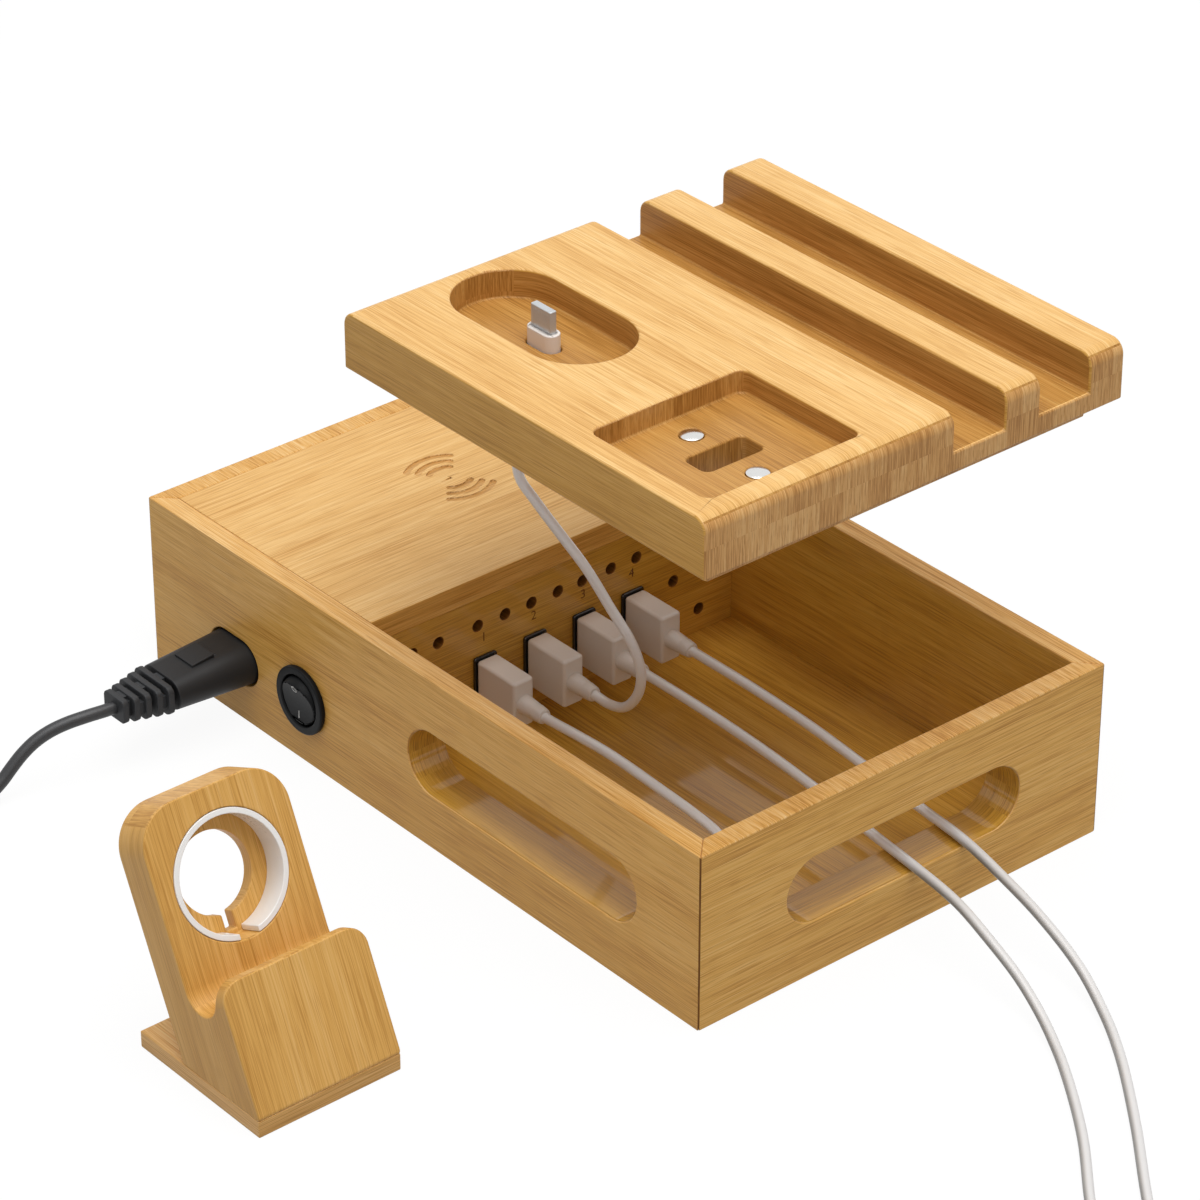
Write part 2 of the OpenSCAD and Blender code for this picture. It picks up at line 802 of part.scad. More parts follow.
module port_sockets() {
    color(metal) at_corner() for (i = [1 : 4]) {
        translate([port_x - can_inset - can_l, port_y(i), port_z]) {
            difference() {
                along_x(can_l) square([can_w, can_h], center = true);
                translate([can_l - shell_l - over, 0, 0]) along_x(shell_l + 2 * over)
                    square([can_w - 2 * can_t, can_h - 2 * can_t], center = true);
            }
            translate([can_l - shell_l - over, -tongue_t - seat, -tongue_h / 2])
                cube([tongue_l, tongue_t, tongue_h]);
        }
    }
}

module port_bezels() {
    color(black) at_corner() for (i = [1 : 4]) {
        translate([bay_x, port_y(i), port_z]) difference() {
            union() {
                along_x(panel_t) square([port_hole_w - 2 * seat, port_hole_h - 2 * seat], center = true);
                translate([panel_t, 0, 0]) along_x(port_flange_t)
                    rounded_rect(port_bezel_w, port_bezel_h, port_flange_t);
            }
            translate([-over, 0, 0]) along_x(panel_t + port_flange_t + 2 * over)
                square([can_w + 2 * seat, can_h + 2 * seat], center = true);
        }
    }
}

module port_plug(i) {
    color(pearl) at_corner() translate([grip_x, port_y(i), port_z]) {
        intersection() {
            along_x(grip_l) rounded_rect(grip_w, grip_h, grip_round);
            translate([0, -grip_w / 2, 0]) along_y(grip_w) translate([grip_l / 2, 0])
                rounded_rect(grip_l, grip_h, grip_corner);
        }
        for (k = [0 : boot_steps - 1]) {
            translate([grip_l + k * boot_l / boot_steps, 0, 0]) rotate([0, 90, 0])
                cylinder(d = boot_d + (boot_end_d - boot_d) * k / (boot_steps - 1), h = boot_l / boot_steps);
        }
    }
}

module plug_shell(i) {
    color(metal) at_corner() translate([grip_x - shell_l, port_y(i), port_z]) {
        difference() {
            along_x(shell_l) square([shell_w, shell_h], center = true);
            translate([-over, 0, 0]) along_x(shell_l + over - shell_t)
                square([shell_w - 2 * shell_t, shell_h - 2 * shell_t], center = true);
        }
        translate([shell_t, shell_w / 2 - shell_t - insert_t, shell_t - shell_h / 2])
            cube([shell_l - 2 * shell_t, insert_t, shell_h - 2 * shell_t]);
    }
}

module port_plug_1() { port_plug(1); }
module port_plug_2() { port_plug(2); }
module port_plug_3() { port_plug(3); }
module port_plug_4() { port_plug(4); }
module plug_shell_1() { plug_shell(1); }
module plug_shell_2() { plug_shell(2); }
module plug_shell_3() { plug_shell(3); }
module plug_shell_4() { plug_shell(4); }

// Connector on the free end of a lead, drawn along +x from the cord's end
module end_connector() {
    rotate([0, 90, 0]) cylinder(d = lead_d + 4 * seat, h = end_boot_l);
    translate([end_boot_l, 0, 0]) along_x(end_l) rounded_rect(end_w, end_t, end_t / 3);
    translate([end_boot_l + end_l, 0, 0]) along_x(end_shell_l)
        rounded_rect(end_shell_w, end_shell_t, end_shell_t / 3);
}

// Leads
x_dir = [1, 0, 0];
y_dir = [0, 1, 0];
z_dir = [0, 0, 1];

module lead_1_run() {
    color(pearl) at_corner()
        tube(concat([[lead_x, port_y(1), port_z]], lead_1_route, [lead_1_end]), x_dir, -y_dir, lead_d);
}

module lead_1_connector() {
    color(pearl) at_corner() translate(lead_1_end) rotate([0, 0, -90]) end_connector();
}

module dock_lead_run() {
    lift_end = [phone_x, oval_y, lid_z - clip_t - dock_boot_l];
    color(pearl) at_corner()
        tube(concat([[lead_x, port_y(2), port_z]], dock_route, [lift_end]), x_dir, z_dir, lead_d, level = y_dir);
}

module lead_3_run() {
    color(pearl) at_corner()
        tube(concat([[lead_x, port_y(3), port_z]], lead_3_route, [lead_3_loop[0]]),
            x_dir, loop_heading(lead_3_start, -1), lead_d);
}

lead_3_end = lead_3_start - 360 * lead_3_loops;

module lead_3_coil() {
    color(pearl) at_corner() tube(lead_3_loop, loop_heading(lead_3_start, -1),
        loop_heading(lead_3_end, -1), lead_d, 6);
}

module lead_3_connector() {
    color(pearl) at_corner() translate(last_point(lead_3_loop))
        rotate([0, 0, lead_3_end - 90]) end_connector();
}

module lead_4_run() {
    color(pearl) at_corner()
        tube(concat([[lead_x, port_y(4), port_z]], lead_4_route, [lead_4_loop[0]]),
            x_dir, loop_heading(lead_4_start, 1), lead_d);
}

module lead_4_coil() {
    heading = loop_heading(lead_4_start, 1);
    color(pearl) at_corner() tube(lead_4_loop, heading, heading, lead_d, 6);
}

module lead_4_connector() {
    color(pearl) at_corner() translate(last_point(lead_4_loop))
        rotate([0, 0, lead_4_start + 90]) end_connector();
}

// Power lead
module power_plug() {
    slope = atan((plug_h - plug_end_h) / 2 / plug_l);
    color(black) at_corner() translate([inlet_x, 0, inlet_z]) {
        difference() {
            union() {
                stadium_y(plug_w, plug_h, plug_in);
                hull() {
                    translate([0, -seat, 0]) stadium_y(plug_w, plug_h, seat);
                    translate([0, -plug_l, 0]) stadium_y(plug_end_w, plug_end_h, seat);
                }
            }
            for (side = [-1, 1]) {
                translate([side * pin_gap / 2, wall_t + socket_cavity - pin_l - run_gap, 0])
                    rotate([-90, 0, 0]) cylinder(d = pin_d + 2 * run_gap, h = plug_in);
            }
        }
        translate([0, 0, plug_h / 2]) rotate([slope, 0, 0])
            translate([-pad_w / 2, -(plug_l + pad_l) / 2, -pad_t]) cube([pad_w, pad_l, 2 * pad_t]);
    }
}

module power_strain_relief() {
    pitch = relief_l / rib_n;
    gap = pitch * (1 - rib_share);
    color(black) at_corner() translate([inlet_x, -plug_l, inlet_z]) {
        rotate([90, 0, 0]) cylinder(d = relief_core_d, h = relief_l);
        for (i = [0 : rib_n - 1]) {
            part = (i + 1) / rib_n;
            w = plug_end_w + (relief_w - plug_end_w) * part;
            h = plug_end_h + (relief_h - plug_end_h) * part;
            translate([0, -(i + 1) * pitch, 0]) along_y(pitch - gap) rounded_rect(w, h, h / 4);
            translate([0, -(i + 1) * pitch + pitch - gap, 0]) along_y(gap)
                square(i % 2 == 0 ? [bridge_w, h - pad_t] : [w - pad_w / 2, bridge_w], center = true);
        }
    }
}

module power_cord_run() {
    color(black) at_corner()
        tube(concat([[inlet_x, -plug_l - relief_l, inlet_z]], power_route, [power_loop[0]]),
            -y_dir, loop_heading(power_start, -1), power_d);
}

module power_cord_coil() {
    heading = loop_heading(power_start, -1);
    color(black) at_corner() tube(power_loop, heading, heading, power_d, 6);
}

module wall_plug() {
    end = last_point(power_loop);
    color(black) at_corner() translate(end) {
        rotate([90, 0, 0]) cylinder(d = wall_boot_d, h = wall_boot_l);
        translate([0, -wall_boot_l - wall_plug_l, 0]) intersection() {
            along_y(wall_plug_l) rounded_rect(wall_plug_w, 2 * end[2], end[2] / 2);
            translate([0, wall_plug_l / 2, -end[2]]) linear_extrude(2 * end[2])
                rounded_rect(wall_plug_w, wall_plug_l, end[2] - over);
        }
    }
}

module wall_plug_blades() {
    end = last_point(power_loop);
    color(metal) at_corner() translate([end[0], end[1] - wall_boot_l - wall_plug_l, end[2]])
        for (side = [-1, 1]) {
            translate([side * blade_pitch / 2 - wall_blade_t / 2, -wall_blade_l, -wall_blade_w / 2])
                difference() {
                    cube([wall_blade_t, wall_blade_l, wall_blade_w]);
                    translate([-over, wall_blade_hole, wall_blade_w / 2])
                        rotate([0, 90, 0]) cylinder(d = wall_blade_hole, h = wall_blade_t + 2 * over);
                }
        }
}

// Lid
square_mid = [lid_x + square_x + square_l / 2, square_y + square_w / 2];
hole_mid = [lid_x + hole_x, hole_y];

module lid_panel() {
    color(wood) at_corner() difference() {
        translate([lid_x + lid_l / 2, 0, lid_z]) along_y(base_w) arched_rect(lid_l, lid_t, lid_round);
        for (y = [block_w, block_w + rest_w + rail_w]) {
            translate([lid_x - over, y, lid_z + rest_floor])
                cube([lid_l + 2 * over, rest_w, lid_t]);
        }
        translate([phone_x, oval_y, recess_z]) stadium_z(oval_l, oval_w, lid_t);
        translate([phone_x, oval_y, lid_z - over])
            stadium_z(dock_l + 2 * dock_slot_gap, dock_w + 2 * dock_slot_gap, lid_t);
        translate([square_mid[0], square_mid[1], lid_z + lid_t - square_depth])
            linear_extrude(lid_t) rounded_rect(square_l, square_w, square_round);
        translate([hole_mid[0], hole_mid[1], lid_z - over])
            linear_extrude(lid_t) rounded_rect(hole_l, hole_w, hole_round);
        for (side = [-1, 1]) {
            translate([hole_mid[0] + side * magnet_gap / 2, hole_mid[1],
                lid_z + lid_t - square_depth - magnet_t])
                    cylinder(d = magnet_d + 2 * seat, h = lid_t);
        }
    }
}

module lid_locating_frame() {
    outer = [lid_l - wall_t - 2 * frame_gap, inner_w - 2 * frame_gap];
    color(rim_wood) at_corner()
        translate([lid_x + frame_gap, wall_t + frame_gap, lid_z - frame_h]) difference() {
            cube([outer[0], outer[1], frame_h]);
            translate([frame_w, frame_w, -over])
                cube([outer[0] - 2 * frame_w, outer[1] - 2 * frame_w, frame_h + 2 * over]);
        }
}

module dock_connector() {
    color(pearl) at_corner() translate([phone_x, oval_y, lid_z]) difference() {
        stadium_z(dock_l, dock_w, recess_z - lid_z + dock_h);
        translate([-tab_w / 2 - seat, -tab_t / 2 - seat, recess_z - lid_z])
            cube([tab_w + 2 * seat, tab_t + 2 * seat, lid_t]);
    }
}

module dock_tab() {
    color(metal) at_corner() translate([phone_x - tab_w / 2, oval_y - tab_t / 2, recess_z])
        cube([tab_w, tab_t, dock_h + tab_h]);
}

module dock_clip() {
    color(pearl) at_corner() translate([phone_x, oval_y, lid_z - clip_t]) {
        stadium_z(clip_l, clip_w, clip_t);
        translate([0, 0, -dock_boot_l]) cylinder(d = dock_boot_d, h = dock_boot_l);
    }
}

module lid_magnets() {
    dome_r = (magnet_d * magnet_d / 4 + magnet_proud * magnet_proud) / (2 * magnet_proud);
    color(metal) at_corner() for (side = [-1, 1]) {
        translate([hole_mid[0] + side * magnet_gap / 2, hole_mid[1],
            lid_z + lid_t - square_depth - magnet_t]) intersection() {
                cylinder(d = magnet_d, h = magnet_t + magnet_proud);
                translate([0, 0, magnet_t + magnet_proud - dome_r]) sphere(r = dome_r, $fn = 96);
            }
    }
}

// Watch stand
stand_d = lip_t + groove_w + plate_t;
groove_mid = lip_t + groove_w / 2;

module at_stand() {
    translate([stand_x, -stand_y - stand_w, 0]) children();
}

// Leaning frame: x out of the stand's face, z up along the lean
module leaning() {
    translate([0, 0, foot_t + toe_h]) rotate([0, -lean, 0]) children();
}

module stand_body() {
    sunk = stand_d;
    color(wood) at_corner() at_stand() intersection() {
        leaning() difference() {
            union() {
                translate([-groove_mid, stand_w / 2, -sunk]) along_x(groove_mid)
                    arched_rect(stand_w, lip_h + sunk, lip_round);
                translate([-stand_d, stand_w / 2, -sunk]) along_x(stand_d - groove_mid)
                    arched_rect(stand_w, plate_h + sunk, plate_round);
            }
            translate([-groove_mid, -over, groove_z + groove_w / 2]) {
                rotate([-90, 0, 0]) cylinder(d = groove_w, h = stand_w + 2 * over);
                translate([-groove_w / 2, 0, 0]) cube([groove_w, stand_w + 2 * over, plate_h]);
            }
            translate([-lip_t - groove_w, stand_w / 2, ring_z]) {
                translate([-ring_depth, 0, 0]) rotate([0, 90, 0]) cylinder(d = ring_d, h = ring_depth + over);
                translate([-plate_t - over, 0, 0]) rotate([0, 90, 0])
                    cylinder(d = back_hole_d, h = plate_t + over);
                translate([-plate_t - over, -slit_w / 2, -ring_d / 2 + ring_t])
                    cube([plate_t + over, slit_w, ring_d / 2 - ring_t]);
            }
        }
        translate([-2 * plate_h, -over, foot_t]) cube([2 * plate_h, stand_w + 2 * over, 2 * plate_h]);
    }
}

module stand_foot() {
    color(wood) at_corner() at_stand() translate([-foot_l, 0, 0]) cube([foot_l, stand_w, foot_t]);
}

module stand_ring() {
    color("#f2f2f0") at_corner() at_stand() leaning()
        translate([-lip_t - groove_w - ring_depth, stand_w / 2, ring_z]) difference() {
            rotate([0, 90, 0]) cylinder(d = ring_d - 2 * seat, h = ring_depth);
            translate([-over, 0, 0]) rotate([0, 90, 0])
                cylinder(d = ring_d - 2 * seat - 2 * ring_t, h = ring_depth + 2 * over);
            translate([-over, -ring_gap / 2, -ring_d])
                cube([ring_depth + 2 * over, ring_gap, ring_d]);
        }
}

base_floor();
front_wall();
back_wall();
left_wall();
right_wall();
port_panel();
charging_deck();
deck_battens();
inlet_socket();
inlet_pins();
switch_housing();
switch_terminals();
switch_rocker();
power_board();
transformer();
capacitors();
board_posts();
board_screws();
port_board();
port_sockets();
port_bezels();
charging_coil();
coil_shield();
coil_board();
mains_wires();
coil_wires();
power_plug();
power_strain_relief();
power_cord_run();
power_cord_coil();
wall_plug();
wall_plug_blades();
port_plug_1();
port_plug_2();
port_plug_3();
port_plug_4();
plug_shell_1();
plug_shell_2();
plug_shell_3();
plug_shell_4();
lead_1_run();
lead_1_connector();
dock_lead_run();
lead_3_run();
lead_3_coil();
lead_3_connector();
lead_4_run();
lead_4_coil();
lead_4_connector();
lid_panel();
lid_locating_frame();
dock_connector();
dock_tab();
dock_clip();
lid_magnets();
stand_body();
stand_foot();
stand_ring();
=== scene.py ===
import math

import bmesh
import bpy
from mathutils import Matrix, Vector
from mathutils.bvhtree import BVHTree


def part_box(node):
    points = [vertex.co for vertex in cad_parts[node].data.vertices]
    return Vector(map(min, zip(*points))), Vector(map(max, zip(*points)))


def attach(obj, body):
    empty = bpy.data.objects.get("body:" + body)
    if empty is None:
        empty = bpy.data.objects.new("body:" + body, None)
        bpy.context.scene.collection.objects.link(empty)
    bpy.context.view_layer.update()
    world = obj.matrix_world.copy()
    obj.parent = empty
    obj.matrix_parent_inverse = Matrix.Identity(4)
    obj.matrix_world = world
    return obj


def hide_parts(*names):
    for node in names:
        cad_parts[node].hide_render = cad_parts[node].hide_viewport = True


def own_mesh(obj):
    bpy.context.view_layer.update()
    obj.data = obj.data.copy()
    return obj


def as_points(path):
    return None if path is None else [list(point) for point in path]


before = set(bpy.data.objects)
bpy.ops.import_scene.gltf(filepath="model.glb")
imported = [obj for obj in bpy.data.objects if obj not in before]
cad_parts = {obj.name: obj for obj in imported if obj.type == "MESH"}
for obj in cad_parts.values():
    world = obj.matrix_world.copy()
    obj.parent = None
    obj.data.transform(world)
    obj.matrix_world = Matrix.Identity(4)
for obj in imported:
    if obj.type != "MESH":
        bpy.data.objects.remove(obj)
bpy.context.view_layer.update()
mm = 0.001
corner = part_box("front_wall")[0]  # front left corner of the box, on the table


def at(x, y, z):
    return corner + Vector((x, y, z)) * mm


def say(stage):
    print("scene:", stage)


# The photograph's camera; its place is from the box's front left corner, in mm
photoView = {
    "place": (1119.66, -756.87, 834.29),
    "pitch": -31.151,
    "yaw": 139.888,
    "lens": 147.51,
    "sensor": 36,
}


def link(name, data):
    # a new object that holds the data
    made = bpy.data.objects.new(name, data)
    bpy.context.scene.collection.objects.link(made)
    return made


def aimAt(thing, place, along):
    thing.location = place
    thing.rotation_mode = "QUATERNION"
    thing.rotation_quaternion = along.to_track_quat("-Z", "Y")


def makeCamera(view):
    pitch, yaw = math.radians(view["pitch"]), math.radians(view["yaw"])
    along = Vector((math.cos(pitch) * math.cos(yaw), math.cos(pitch) * math.sin(yaw), math.sin(pitch)))
    data = bpy.data.cameras.new("photoCamera")
    data.lens = view["lens"]
    data.sensor_width = view["sensor"]
    camera = link("photoCamera", data)
    aimAt(camera, at(*view["place"]), along)
    bpy.context.scene.camera = camera


makeCamera(photoView)
bpy.context.scene.view_settings.view_transform = "Standard"
say("camera")


# Meshes
def newPiece(name, mesh, body, slot, *nodes):
    # a piece on its body, in place of the CAD nodes named
    piece = link(name, mesh)
    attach(piece, body)
    if nodes:
        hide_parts(*nodes)
    return piece


def realised(holder, name):
    # the mesh that an object's modifiers or text make; the object goes
    bpy.context.view_layer.update()
    made = bpy.data.meshes.new_from_object(holder.evaluated_get(bpy.context.evaluated_depsgraph_get()))
    made.name = name
    bpy.data.objects.remove(holder)
    return made


def weld(builder, reach=1e-6):
    bmesh.ops.remove_doubles(builder, verts=builder.verts, dist=reach)


def meshFrom(name, builder):
    # closes a bmesh into a mesh with its faces outwards
    weld(builder)
    bmesh.ops.recalc_face_normals(builder, faces=builder.faces)
    mesh = bpy.data.meshes.new(name)
    builder.to_mesh(mesh)
    builder.free()
    return mesh


def smoothMesh(mesh, angle=35):
    mesh.shade_smooth()
    mesh.set_sharp_from_angle(angle=math.radians(angle))


def addRing(builder, centre, side, across, radius, sides):
    turns = [2 * math.pi * k / sides for k in range(sides)]
    return [builder.verts.new(centre + (side * math.cos(a) + across * math.sin(a)) * radius)
            for a in turns]


def addSkin(builder, rings, capped=True):
    # faces from each ring of corners to the next, and over both ends
    faces = []
    for near, far in zip(rings, rings[1:]):
        for k in range(len(near)):
            n = (k + 1) % len(near)
            faces.append(builder.faces.new((near[k], near[n], far[n], far[k])))
    if capped:
        builder.faces.new(rings[0])
        builder.faces.new(rings[-1])
    return faces


# Curves that the cords follow
def easeLine(points, parts, first=None, last=None):
    # a smooth curve through the points, with `parts` steps in each span
    count = len(points)
    headings = []
    for i in range(count):
        before = points[i] - points[max(i - 1, 0)]
        after = points[min(i + 1, count - 1)] - points[i]
        heading = (before.normalized() if before.length else Vector()) + (
            after.normalized() if after.length else Vector())
        headings.append(heading.normalized())
    headings[0] = Vector(first).normalized() if first else headings[0]
    headings[-1] = Vector(last).normalized() if last else headings[-1]
    line = []
    for i in range(count - 1):
        chord = (points[i + 1] - points[i]).length
        for k in range(parts):
            t = k / parts
            line.append(points[i] * (2 * t**3 - 3 * t**2 + 1)
                        + headings[i] * chord * (t**3 - 2 * t**2 + t)
                        + points[i + 1] * (3 * t**2 - 2 * t**3)
                        + headings[i + 1] * chord * (t**3 - t**2))
    line.append(points[-1])
    return line


def sweepTube(name, line, diameter, sides=16, up=(0, 0, 1)):
    # a closed tube round a line, with a UV map in metres along and round it
    builder = bmesh.new()
    uvs = builder.loops.layers.uv.new("cordUv")
    side = Vector(up)
    rings, run = [], [0]
    for i, point in enumerate(line):
        ahead = (line[min(i + 1, len(line) - 1)] - line[max(i - 1, 0)]).normalized()
        side = (side - ahead * side.dot(ahead)).normalized()
        rings.append(addRing(builder, point, side, ahead.cross(side), diameter / 2, sides))
        if i:
            run.append(run[-1] + (point - line[i - 1]).length)
    for number, face in enumerate(addSkin(builder, rings)):
        i, k = divmod(number, sides)
        for loop, (a, b) in zip(face.loops, ((i, k), (i, k + 1), (i + 1, k + 1), (i + 1, k))):
            loop[uvs].uv = (run[a], b / sides * math.pi * diameter)
    mesh = meshFrom(name, builder)
    smoothMesh(mesh, angle=60)
    return mesh


# A coil: in on a lower layer of loops, out again on one above it
coilRings = 24
coilLift = 0.1  # mm between the coil and the table
coilTail = ((2, 0), (4, 0.5), (6, 1), (7, 1))  # diameters past the last loop, share of the drop


def loopPoint(t, coil):
    angle = math.radians(coil["start"] + coil["hand"] * 360 * t)
    radius = coil["radius"] + coil["step"] * abs(t - coil["loops"] / 2)
    climb = min(1, max(0, (t - coil["loops"] / 2) * 2 + 0.5))
    return at(coil["centre"][0] + radius * math.cos(angle), coil["centre"][1] + radius * math.sin(angle),
              coil["diameter"] / 2 + coilLift + climb * coil["step"])


def loopHeading(coil, turns=0):
    angle = math.radians(coil["start"] + coil["hand"] * 360 * turns)
    return Vector((-coil["hand"] * math.sin(angle), coil["hand"] * math.cos(angle), 0))


def loopLine(coil):
    d = coil["diameter"] * mm
    inward, outward = loopHeading(coil), loopHeading(coil, coil["loops"])
    mouth, tail = loopPoint(0, coil), loopPoint(coil["loops"], coil)
    down = Vector((0, 0, -coil["drop"] * mm))
    turns = [loopPoint(i / coilRings, coil) for i in range(int(coil["loops"] * coilRings) + 1)]
    return ([mouth - inward * d] + turns
            + [tail + outward * far * d + down * fall for far, fall in coilTail])


powerCoil = {"centre": (3.2, -118), "start": 0, "hand": -1, "loops": 7, "step": 4.8, "radius": 17,
             "diameter": 4.2, "drop": 0}
leadCoil = {"step": 4, "radius": 11.5, "diameter": 3.2, "drop": 2.5}
lead3Coil = {**leadCoil, "centre": (406.9, -12), "start": 50, "hand": -1, "loops": 6.125}
lead4Coil = {**leadCoil, "centre": (446.1, 37.8), "start": 233, "hand": 1, "loops": 6}

# Each cord's points from the box's front left corner, in mm
powerCord = {
    "name": "powerLead", "body": "power_lead", "slot": "black_cord", "diameter": 4.2, "coil": powerCoil,
    "nodes": ("power_cord_run", "power_cord_coil"), "start": (43, -46, 21), "first": (0, -1, 0),
    "far": "plug", "stiffness": "medium", "lay": "coiled",
    "mates": ("wallPlug", "wall_plug_blades", "powerTie"),
    "route": [(41.5, -55.5, 20.8), (39.8, -61.5, 20), (38.4, -67, 18.6), (37.4, -72, 16.4),
              (37, -76.5, 13.6), (36.9, -80.5, 10.4), (36.9, -84.5, 7), (37, -89.5, 4.2),
              (37, -96, 2.5), (37, -104, 2.2)],
}
lead = {"slot": "pearl_cord", "diameter": 3.2, "first": (1, 0, 0), "far": "connector",
        "stiffness": "limp", "lay": "coiled", "coil": None}
lead1Cord = {
    **lead, "name": "lead1Cord", "body": "lead_1", "nodes": ("lead_1_run",), "start": (135, 50.5, 22.6),
    "last": (0, -1, 0), "lay": "loose", "mates": ("leadEnd1",),
    "route": [(150, 50.5, 23.6), (166, 50.5, 24.4), (190, 50.4, 23.6), (206, 50.4, 22.6), (216, 50.4, 21),
              (224, 49.8, 17.8), (231, 47.8, 13), (236, 44.4, 9.6), (238, 39.8, 8.4), (238, 36.6, 8.4)],
}
dockCord = {
    **lead, "name": "dockLead", "body": "base", "nodes": ("dock_lead_run",), "start": (135, 70.5, 22.6),
    "last": (0, 0, 1), "far": "object", "lay": "hanging", "mates": (),
    "route": [(141.6, 70.5, 22.5), (149, 70, 25), (155, 69.2, 30.6), (159.4, 68, 38), (161.8, 66, 47),
              (160.6, 63.4, 56.6), (155.8, 59.6, 67.4), (149.8, 54.5, 81.4), (143.4, 49.8, 92.2),
              (137.4, 45.4, 102.4), (133.4, 42.6, 110), (133, 42.4, 118.4), (136.2, 42.4, 126.6),
              (141.6, 42.4, 133.4), (145.1, 42.4, 138.4), (145.6, 42.4, 142)],
}
lead3Cord = {
    **lead, "name": "lead3Cord", "body": "lead_3", "coil": lead3Coil, "mates": ("leadEnd3", "lead3Tie"),
    "nodes": ("lead_3_run", "lead_3_coil"), "start": (135, 90.5, 22.6),
    "route": [(160, 90.4, 22.8), (190, 90, 22.2), (220, 88.2, 21.4), (246, 85.5, 20.8), (266, 83.4, 20.7),
              (285, 82.3, 18.6), (300, 80.8, 14.4), (314, 79.3, 9.3), (328, 75.4, 4.7), (340, 69.9, 2.1),
              (349, 64.4, 1.7), (372.6, 47.4, 1.7), (394, 28.9, 1.7)],
}
lead4Cord = {
    **lead, "name": "lead4Cord", "body": "lead_4", "coil": lead4Coil, "mates": ("leadEnd4", "lead4Tie"),
    "nodes": ("lead_4_run", "lead_4_coil"), "start": (135, 110.5, 22.6),
    "route": [(160, 110.4, 22.8), (190, 110, 22.2), (220, 108, 21.4), (246, 106, 20.8), (266, 104, 20.7),
              (283, 102.7, 17.7), (300, 101.4, 13.5), (320, 98.2, 7.5), (336, 92.3, 3),
              (347.2, 86, 1.7), (375, 65.2, 1.7), (403.2, 41.6, 1.7)],
}
runSteps = 6  # steps of the curve between two points of a route
coilSteps = 2


def makeCord(cord):
    start = at(*cord["start"])
    route = [start] + [at(*p) for p in cord["route"]]
    coil = cord["coil"]
    if coil:
        loops = loopLine(coil)
        heading = loopHeading(coil)
        tailHeading = loopHeading(coil, coil["loops"])
        line = easeLine(route + [loops[0]], runSteps, cord["first"], heading)[:-1]
        line += easeLine(loops, coilSteps, heading, tailHeading)
    else:
        line = easeLine(route, runSteps, cord["first"], cord["last"])
    rest = corner.z + (cord["diameter"] / 2 + coilLift) * mm
    for point in line:
        point.z = max(point.z, rest)
    mesh = sweepTube(cord["name"], line, cord["diameter"] * mm)
    return newPiece(cord["name"], mesh, cord["body"], cord["slot"], *cord["nodes"]), line


cords = [(cord, *makeCord(cord)) for cord in (powerCord, lead1Cord, dockCord, lead3Cord, lead4Cord)]
say("cords")


# Shader and Geometry Nodes trees
class Wire:
    # an output socket; arithmetic on it adds Math nodes
    def __init__(self, recipe, socket):
        self.recipe = recipe
        self.socket = socket

    def math(self, operation, *values):
        return self.recipe.add("Math", dict(enumerate(values)), operation=operation)

    def floor(self):
        return self.math("FLOOR", self)

    def part(self):
        return self.math("FRACT", self)

    def size(self):
        return self.math("ABSOLUTE", self)

    def over(self, low, high):
        # 0 below low, 1 above high, eased between
        return self.recipe.add("MapRange", {"Value": self, "From Min": low, "From Max": high},
                               interpolation_type="SMOOTHSTEP")


def operator(operation, swapped):
    def work(self, other):
        return self.math(operation, *((other, self) if swapped else (self, other)))
    return work


for sign, operation in (("add", "ADD"), ("sub", "SUBTRACT"), ("mul", "MULTIPLY"), ("truediv", "DIVIDE")):
    setattr(Wire, f"__{sign}__", operator(operation, False))
    setattr(Wire, f"__r{sign}__", operator(operation, True))


class Recipe:
    # the nodes of one tree
    def __init__(self, tree):
        self.tree = tree
        self.tree.nodes.clear()

    def add(self, kind, sockets=None, out=0, family="ShaderNode", **settings):
        node = self.tree.nodes.new(family + kind)
        for key, value in settings.items():
            if key == "stops":
                self.setStops(node.color_ramp, value)
            else:
                setattr(node, key, value)
        for key, value in (sockets or {}).items():
            if isinstance(value, Wire):
                self.tree.links.new(value.socket, node.inputs[key])
            else:
                node.inputs[key].default_value = value
        return Wire(self, node.outputs[out]) if node.outputs else node

    def setStops(self, ramp, stops):
        while len(ramp.elements) < len(stops):
            ramp.elements.new(0.5)
        for element, (place, colour) in zip(ramp.elements, stops):
            element.position = place
            element.color = colour

    def blend(self, factor, first, second):
        return self.add("Mix", {0: factor, 6: first, 7: second}, 2, data_type="RGBA",
                        clamp_factor=True)

    def axes(self, turn=0):
        # x, y and z on the piece in mm, turned about y
        place = self.add("TexCoord", out=3)
        if turn:
            place = self.add("Mapping", {"Vector": place, "Rotation": (0, turn, 0)})
        split = self.add("SeparateXYZ", {0: place})
        return [Wire(self, output) * 1000 for output in split.socket.node.outputs]

    def vector(self, x, y, z):
        return self.add("CombineXYZ", {0: x, 1: y, 2: z})

    def noise(self, vector, scale=1, detail=2):
        return self.add("TexNoise", {"Vector": vector, "Scale": scale, "Detail": detail,
                                     "Roughness": 0.55}, noise_dimensions="3D")

    def chance(self, vector):
        return self.add("TexWhiteNoise", {"Vector": vector}, noise_dimensions="3D")

    def bump(self, height, strength, distance):
        return self.add("Bump", {"Height": height, "Strength": strength, "Distance": distance})


def newLook(name):
    material = bpy.data.materials.new(name)
    material.use_nodes = True
    recipe = Recipe(material.node_tree)
    recipe.material = material
    return recipe


